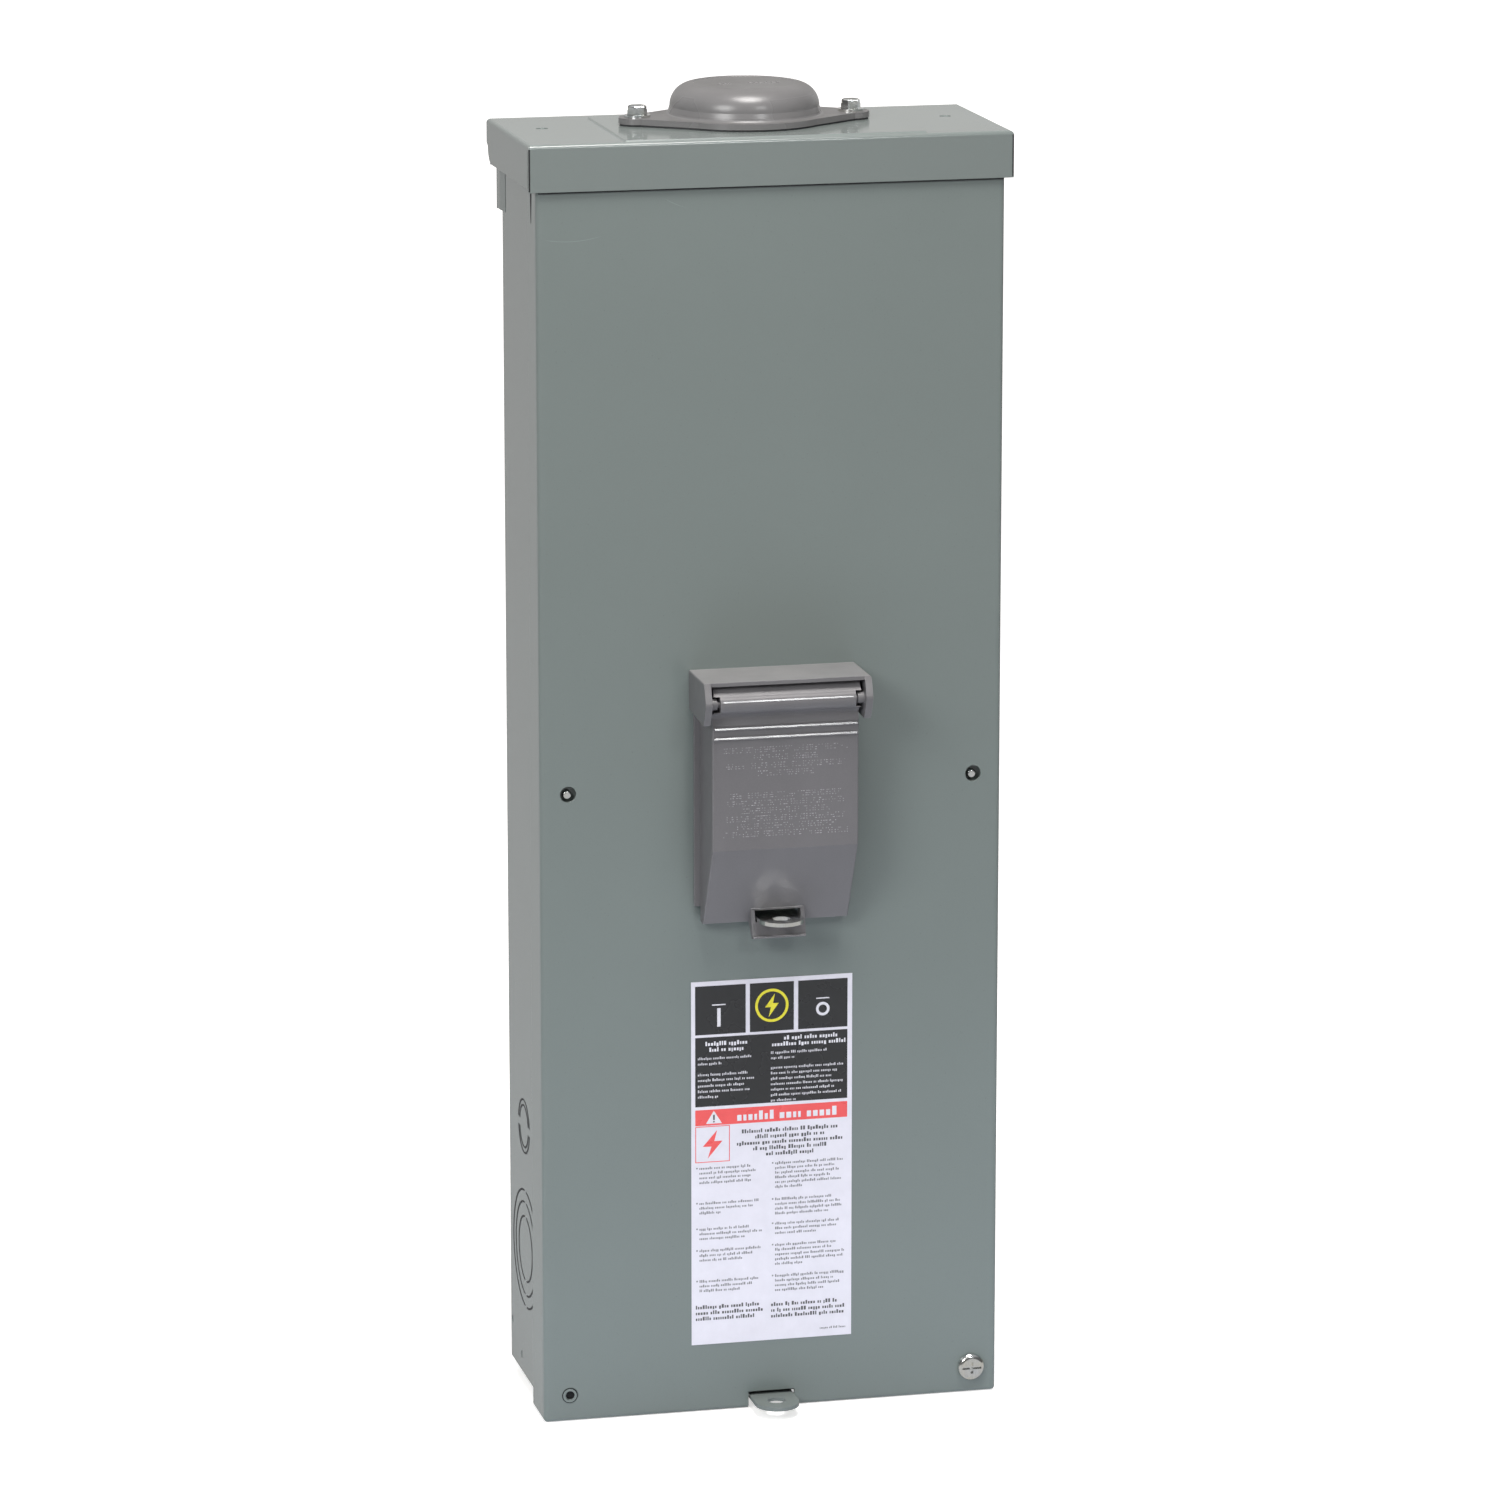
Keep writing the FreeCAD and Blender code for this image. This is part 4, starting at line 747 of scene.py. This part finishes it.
def open_arc(bm, side, y, z, radius, first, last):
    """A curved bar lying in the groove of a knockout ring on the box's side."""
    steps = 26
    inner_x, outer_x = GROOVE_X
    slices = []
    for step in range(steps + 1):
        angle = math.radians(first + (last - first) * step / steps)
        half = 0.36 + 0.6 * abs(math.cos(angle))
        corners = ((inner_x, radius - half), (inner_x, radius + half), (outer_x, radius + half),
                   (outer_x, radius - half))
        slices.append([bm.verts.new((side * x * MM, (y + reach * math.cos(angle)) * MM,
                                     (z + reach * math.sin(angle)) * MM)) for x, reach in corners])
    for before, after in zip(slices, slices[1:]):
        band(bm, before, after)
    bm.faces.new(slices[0])
    bm.faces.new(slices[-1])


def knockout_lines(bm):
    """Dark bars of painted shade in the open arcs of the knockout rings on both sides."""
    for side in (-1, 1):
        for y, z, bridge, radii in KNOCKOUTS:
            for radius in radii:
                gap = math.degrees(math.atan(BRIDGE_HALF / radius))
                for start in (bridge, bridge + 180):
                    open_arc(bm, side, y, z, radius, start + gap, start + 180 - gap)


def tab_returns(bm):
    """Side returns of the hood's rear tab, feathered into the box's side."""
    for side in (-1, 1):
        prism(bm, [[(side * x, y, z) for x, y in RETURN] for z in RETURN_Z])


def eyelet(bm):
    flat_ring(bm, *EYELET_CENTRE, *EYELET_RADII, *EYELET_LEVELS)


def eyelet_shadow(bm):
    flat_ring(bm, *EYELET_CENTRE, *SHADOW_RADII, *SHADOW_LEVELS)


# Painted shade: a dark disc behind the spare hole
def eyelet_hole_shade(bm):
    raised(bm, circle(*EYELET_CENTRE, HOLE_SHADE_RADIUS, 28), *HOLE_SHADE_LEVELS)


# Dark pieces of painted shade in the gaps, slits, knockout grooves and spare hole; the tab returns and
# eyelet are real sheet metal
piece("hood_corner_gap_shade", "enclosure", GAP_SHADE, corner_gap_shade)
piece("hood_lip_gap_shade", "enclosure", GAP_SHADE, lip_gap_shade)
piece("cover_flange_slit_shade", "cover", GAP_SHADE, flange_slit_shade)
piece("knockout_painted_shade", "enclosure", KNOCKOUT_SHADE, knockout_lines)
piece("hood_tab_returns", "enclosure", MATERIALS["painted_shell"], tab_returns)
piece("spare_hole_eyelet", "cover", MATERIALS["painted_cover"], eyelet)
piece("spare_hole_shadow", "cover", GAP_SHADE, eyelet_shadow)
piece("spare_hole_shade_disc", "cover", GAP_SHADE, eyelet_hole_shade)


# Marks on the hub's closing plate and on the breaker

cap_low, cap_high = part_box("hub_closing_plate")
CAP_LEVEL = cap_high.z / MM - 0.4
CAP_X, CAP_Y = (cap_low.x + cap_high.x) / 2 / MM, (cap_low.y + cap_high.y) / 2 / MM
SPECK_FOOT, SPECK_TOP, SPECK_INSET, SPECK_GAP = CAP_LEVEL - 0.05, CAP_LEVEL + 0.32, 0.2, 0.75
NOSE_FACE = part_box("breaker_case_cover")[0].y / MM
THROW_BAR, THROW_RING = (-14.4, 16.8, -13.6, 11.6), (14.0, 14.2, 2.7, 1.95)


def speck(bm, left, right, near, far):
    """A raised speck on the closing plate, with its top drawn in a little."""
    ends = []
    for z, cut in ((SPECK_FOOT, 0.0), (SPECK_TOP, SPECK_INSET)):
        ends.append([(left + cut, near + cut, z), (right - cut, near + cut, z),
                     (right - cut, far - cut, z), (left + cut, far - cut, z)])
    prism(bm, ends)


def cap_marks(bm):
    """Two groups of specks in place of the stamped characters."""
    rng = random.Random(5)
    for left, count in ((-14.0, 3), (2.0, 7)):
        cursor = CAP_X + left
        for _ in range(count):
            wide = rng.uniform(1.1, 1.9)
            speck(bm, cursor, cursor + wide, CAP_Y - 2.4, CAP_Y + 1.6)
            cursor += wide + SPECK_GAP


def throw_marks(bm):
    """The bar for on and the ring for off beside the handle's opening."""
    rear, front = NOSE_FACE + 0.05, NOSE_FACE - 0.08
    raised(bm, box_outline(*THROW_BAR), rear, front, 0.05)
    flat_ring(bm, *THROW_RING, rear, front)


piece("hub_plate_marks", "enclosure", MATERIALS["painted_hub"], cap_marks)
piece("breaker_throw_marks", "enclosure", INKS["white"], throw_marks)


# Stage, lights and camera

def floor_sheet(level):
    """A level sheet that curves up into a wall far behind the object, in metres."""
    near, bend, radius, wall_top, half_width, steps = -9.0, 14.0, 3, 9.0, 14.0, 12
    turns = [math.pi / 2 * step / steps for step in range(steps + 1)]
    profile = [(near, 0.0)]
    profile += [(bend + radius * math.sin(turn), radius - radius * math.cos(turn)) for turn in turns]
    profile += [(bend + radius, wall_top)]
    mesh = bpy.data.meshes.new("floor")
    bm = bmesh.new()
    rows = [[bm.verts.new((x, y, level + z)) for y, z in profile] for x in (-half_width, half_width)]
    for index in range(len(profile) - 1):
        bm.faces.new((rows[0][index], rows[1][index], rows[1][index + 1], rows[0][index + 1]))
    bm.to_mesh(mesh)
    bm.free()
    return mesh


def floor_paper():
    """Near-white paper to the camera, an even glow in mirrors, and a ring that lights the object."""
    g = Graph("floor_paper")
    path = g.add("LightPath")
    camera, diffuse, glossy = (path.outputs[f"Is {ray} Ray"] for ray in ("Camera", "Diffuse", "Glossy"))
    split = g.add("SeparateXYZ")
    g.put(split, 0, g.point)
    squares = [g.maths("POWER", split.outputs[axis], 2.0) for axis in ("X", "Y")]
    reach = g.maths("SQRT", g.maths("ADD", *squares))
    paper = g.mix(g.ramp(g.noise(1.4, 2), 0.3, 0.7), (0.86, 0.86, 0.86), (0.89, 0.89, 0.89))
    bounce = g.mix(g.ramp(reach, 0.25, 1.0), (0.52, 0.54, 0.58), (0.36, 0.36, 0.365))
    tone = g.mix(diffuse, paper, bounce)
    tone = g.mix(glossy, tone, (0.0, 0.0, 0.0))
    seen = g.maths("MULTIPLY", camera, g.ramp(reach, 0.5, 5.0, 0.60, 1.0))
    mirrored = g.maths("MULTIPLY", glossy, 0.55)
    ring = g.maths("MULTIPLY", g.ramp(reach, 0.08, 0.26), g.ramp(reach, 0.3, 0.8, 1.55, 0.0))
    lifted = g.maths("MULTIPLY", diffuse, ring)
    glow = g.mix(diffuse, (1.0, 0.985, 0.97), (0.80, 0.87, 1.0))
    g.put(g.shader, "Emission Color", glow)
    g.put(g.shader, "Emission Strength", g.maths("ADD", g.maths("ADD", seen, mirrored), lifted))
    g.bumps((g.noise(900, 2), 1e-5))
    return g.finish(tone, 0.7)


def stage_floor():
    floor = bpy.data.objects.new("floor", floor_sheet(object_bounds()[0].z - 0.2 * MM))
    bpy.context.scene.collection.objects.link(floor)
    floor.data.materials.append(floor_paper())


def aim(thing, azimuth, elevation, distance):
    """Places a lamp or camera to look at the target; azimuth 0 is straight in front."""
    a, e = math.radians(azimuth), math.radians(elevation)
    way = Vector((math.sin(a) * math.cos(e), -math.cos(a) * math.cos(e), math.sin(e)))
    thing.location = CAMERA_TARGET + way * distance
    thing.rotation_mode = "QUATERNION"
    thing.rotation_quaternion = way.to_track_quat("Z", "Y")
    bpy.context.scene.collection.objects.link(thing)


def softbox(name, azimuth, elevation, distance, size, power, colour):
    data = bpy.data.lights.new(name, "AREA")
    data.shape = "DISK"
    data.size = size
    data.energy = power
    data.color = colour
    aim(bpy.data.objects.new(name, data), azimuth, elevation, distance)


def studio_world():
    """A pale studio, brighter behind the object and overhead, and plain white for the camera."""
    world = bpy.data.worlds.new("studio")
    bpy.context.scene.world = world
    world.use_nodes = True
    tree = world.node_tree
    coord = tree.nodes.new("ShaderNodeTexCoord")
    split = tree.nodes.new("ShaderNodeSeparateXYZ")
    tree.links.new(coord.outputs["Generated"], split.inputs[0])

    def fade(axis, *numbers):
        node = tree.nodes.new("ShaderNodeMapRange")
        node.interpolation_type = "SMOOTHSTEP"
        tree.links.new(split.outputs[axis], node.inputs["Value"])
        for socket, number in zip(("From Min", "From Max", "To Min", "To Max"), numbers):
            node.inputs[socket].default_value = number
        return node.outputs["Result"]

    def joined(operation, first, second):
        node = tree.nodes.new("ShaderNodeMath")
        node.operation = operation
        tree.links.new(first, node.inputs[0])
        tree.links.new(second, node.inputs[1])
        return node.outputs[0]

    back = fade("Y", 0.15, 0.75, 0.12, 0.70)
    top = fade("Z", 0.45, 0.8, 0.0, 0.25)
    path = tree.nodes.new("ShaderNodeLightPath")
    strength = joined("MAXIMUM", joined("ADD", back, top), path.outputs["Is Camera Ray"])
    background = tree.nodes["Background"]
    background.inputs["Color"].default_value = (1.0, 0.997, 0.99, 1)
    tree.links.new(strength, background.inputs["Strength"])


def place_camera():
    data = bpy.data.cameras.new("camera")
    data.lens, data.sensor_width = CAMERA_LENS, 36
    data.clip_start, data.clip_end = 0.1, 60
    camera = bpy.data.objects.new("camera", data)
    aim(camera, AZIMUTH, ELEVATION, CAMERA_DISTANCE)
    bpy.context.scene.camera = camera


stage_floor()
studio_world()
softbox("key_left", -45, 28, 2.3, 0.9, 22, (1.0, 1.0, 0.99))
softbox("key_right", 13, 30, 2.3, 0.30, 6, (0.99, 1.0, 1.0))
softbox("overhead", 0, 72, 1.9, 0.8, 33, (1.0, 0.97, 0.95))
place_camera()
bpy.context.scene.view_settings.view_transform = "Standard"
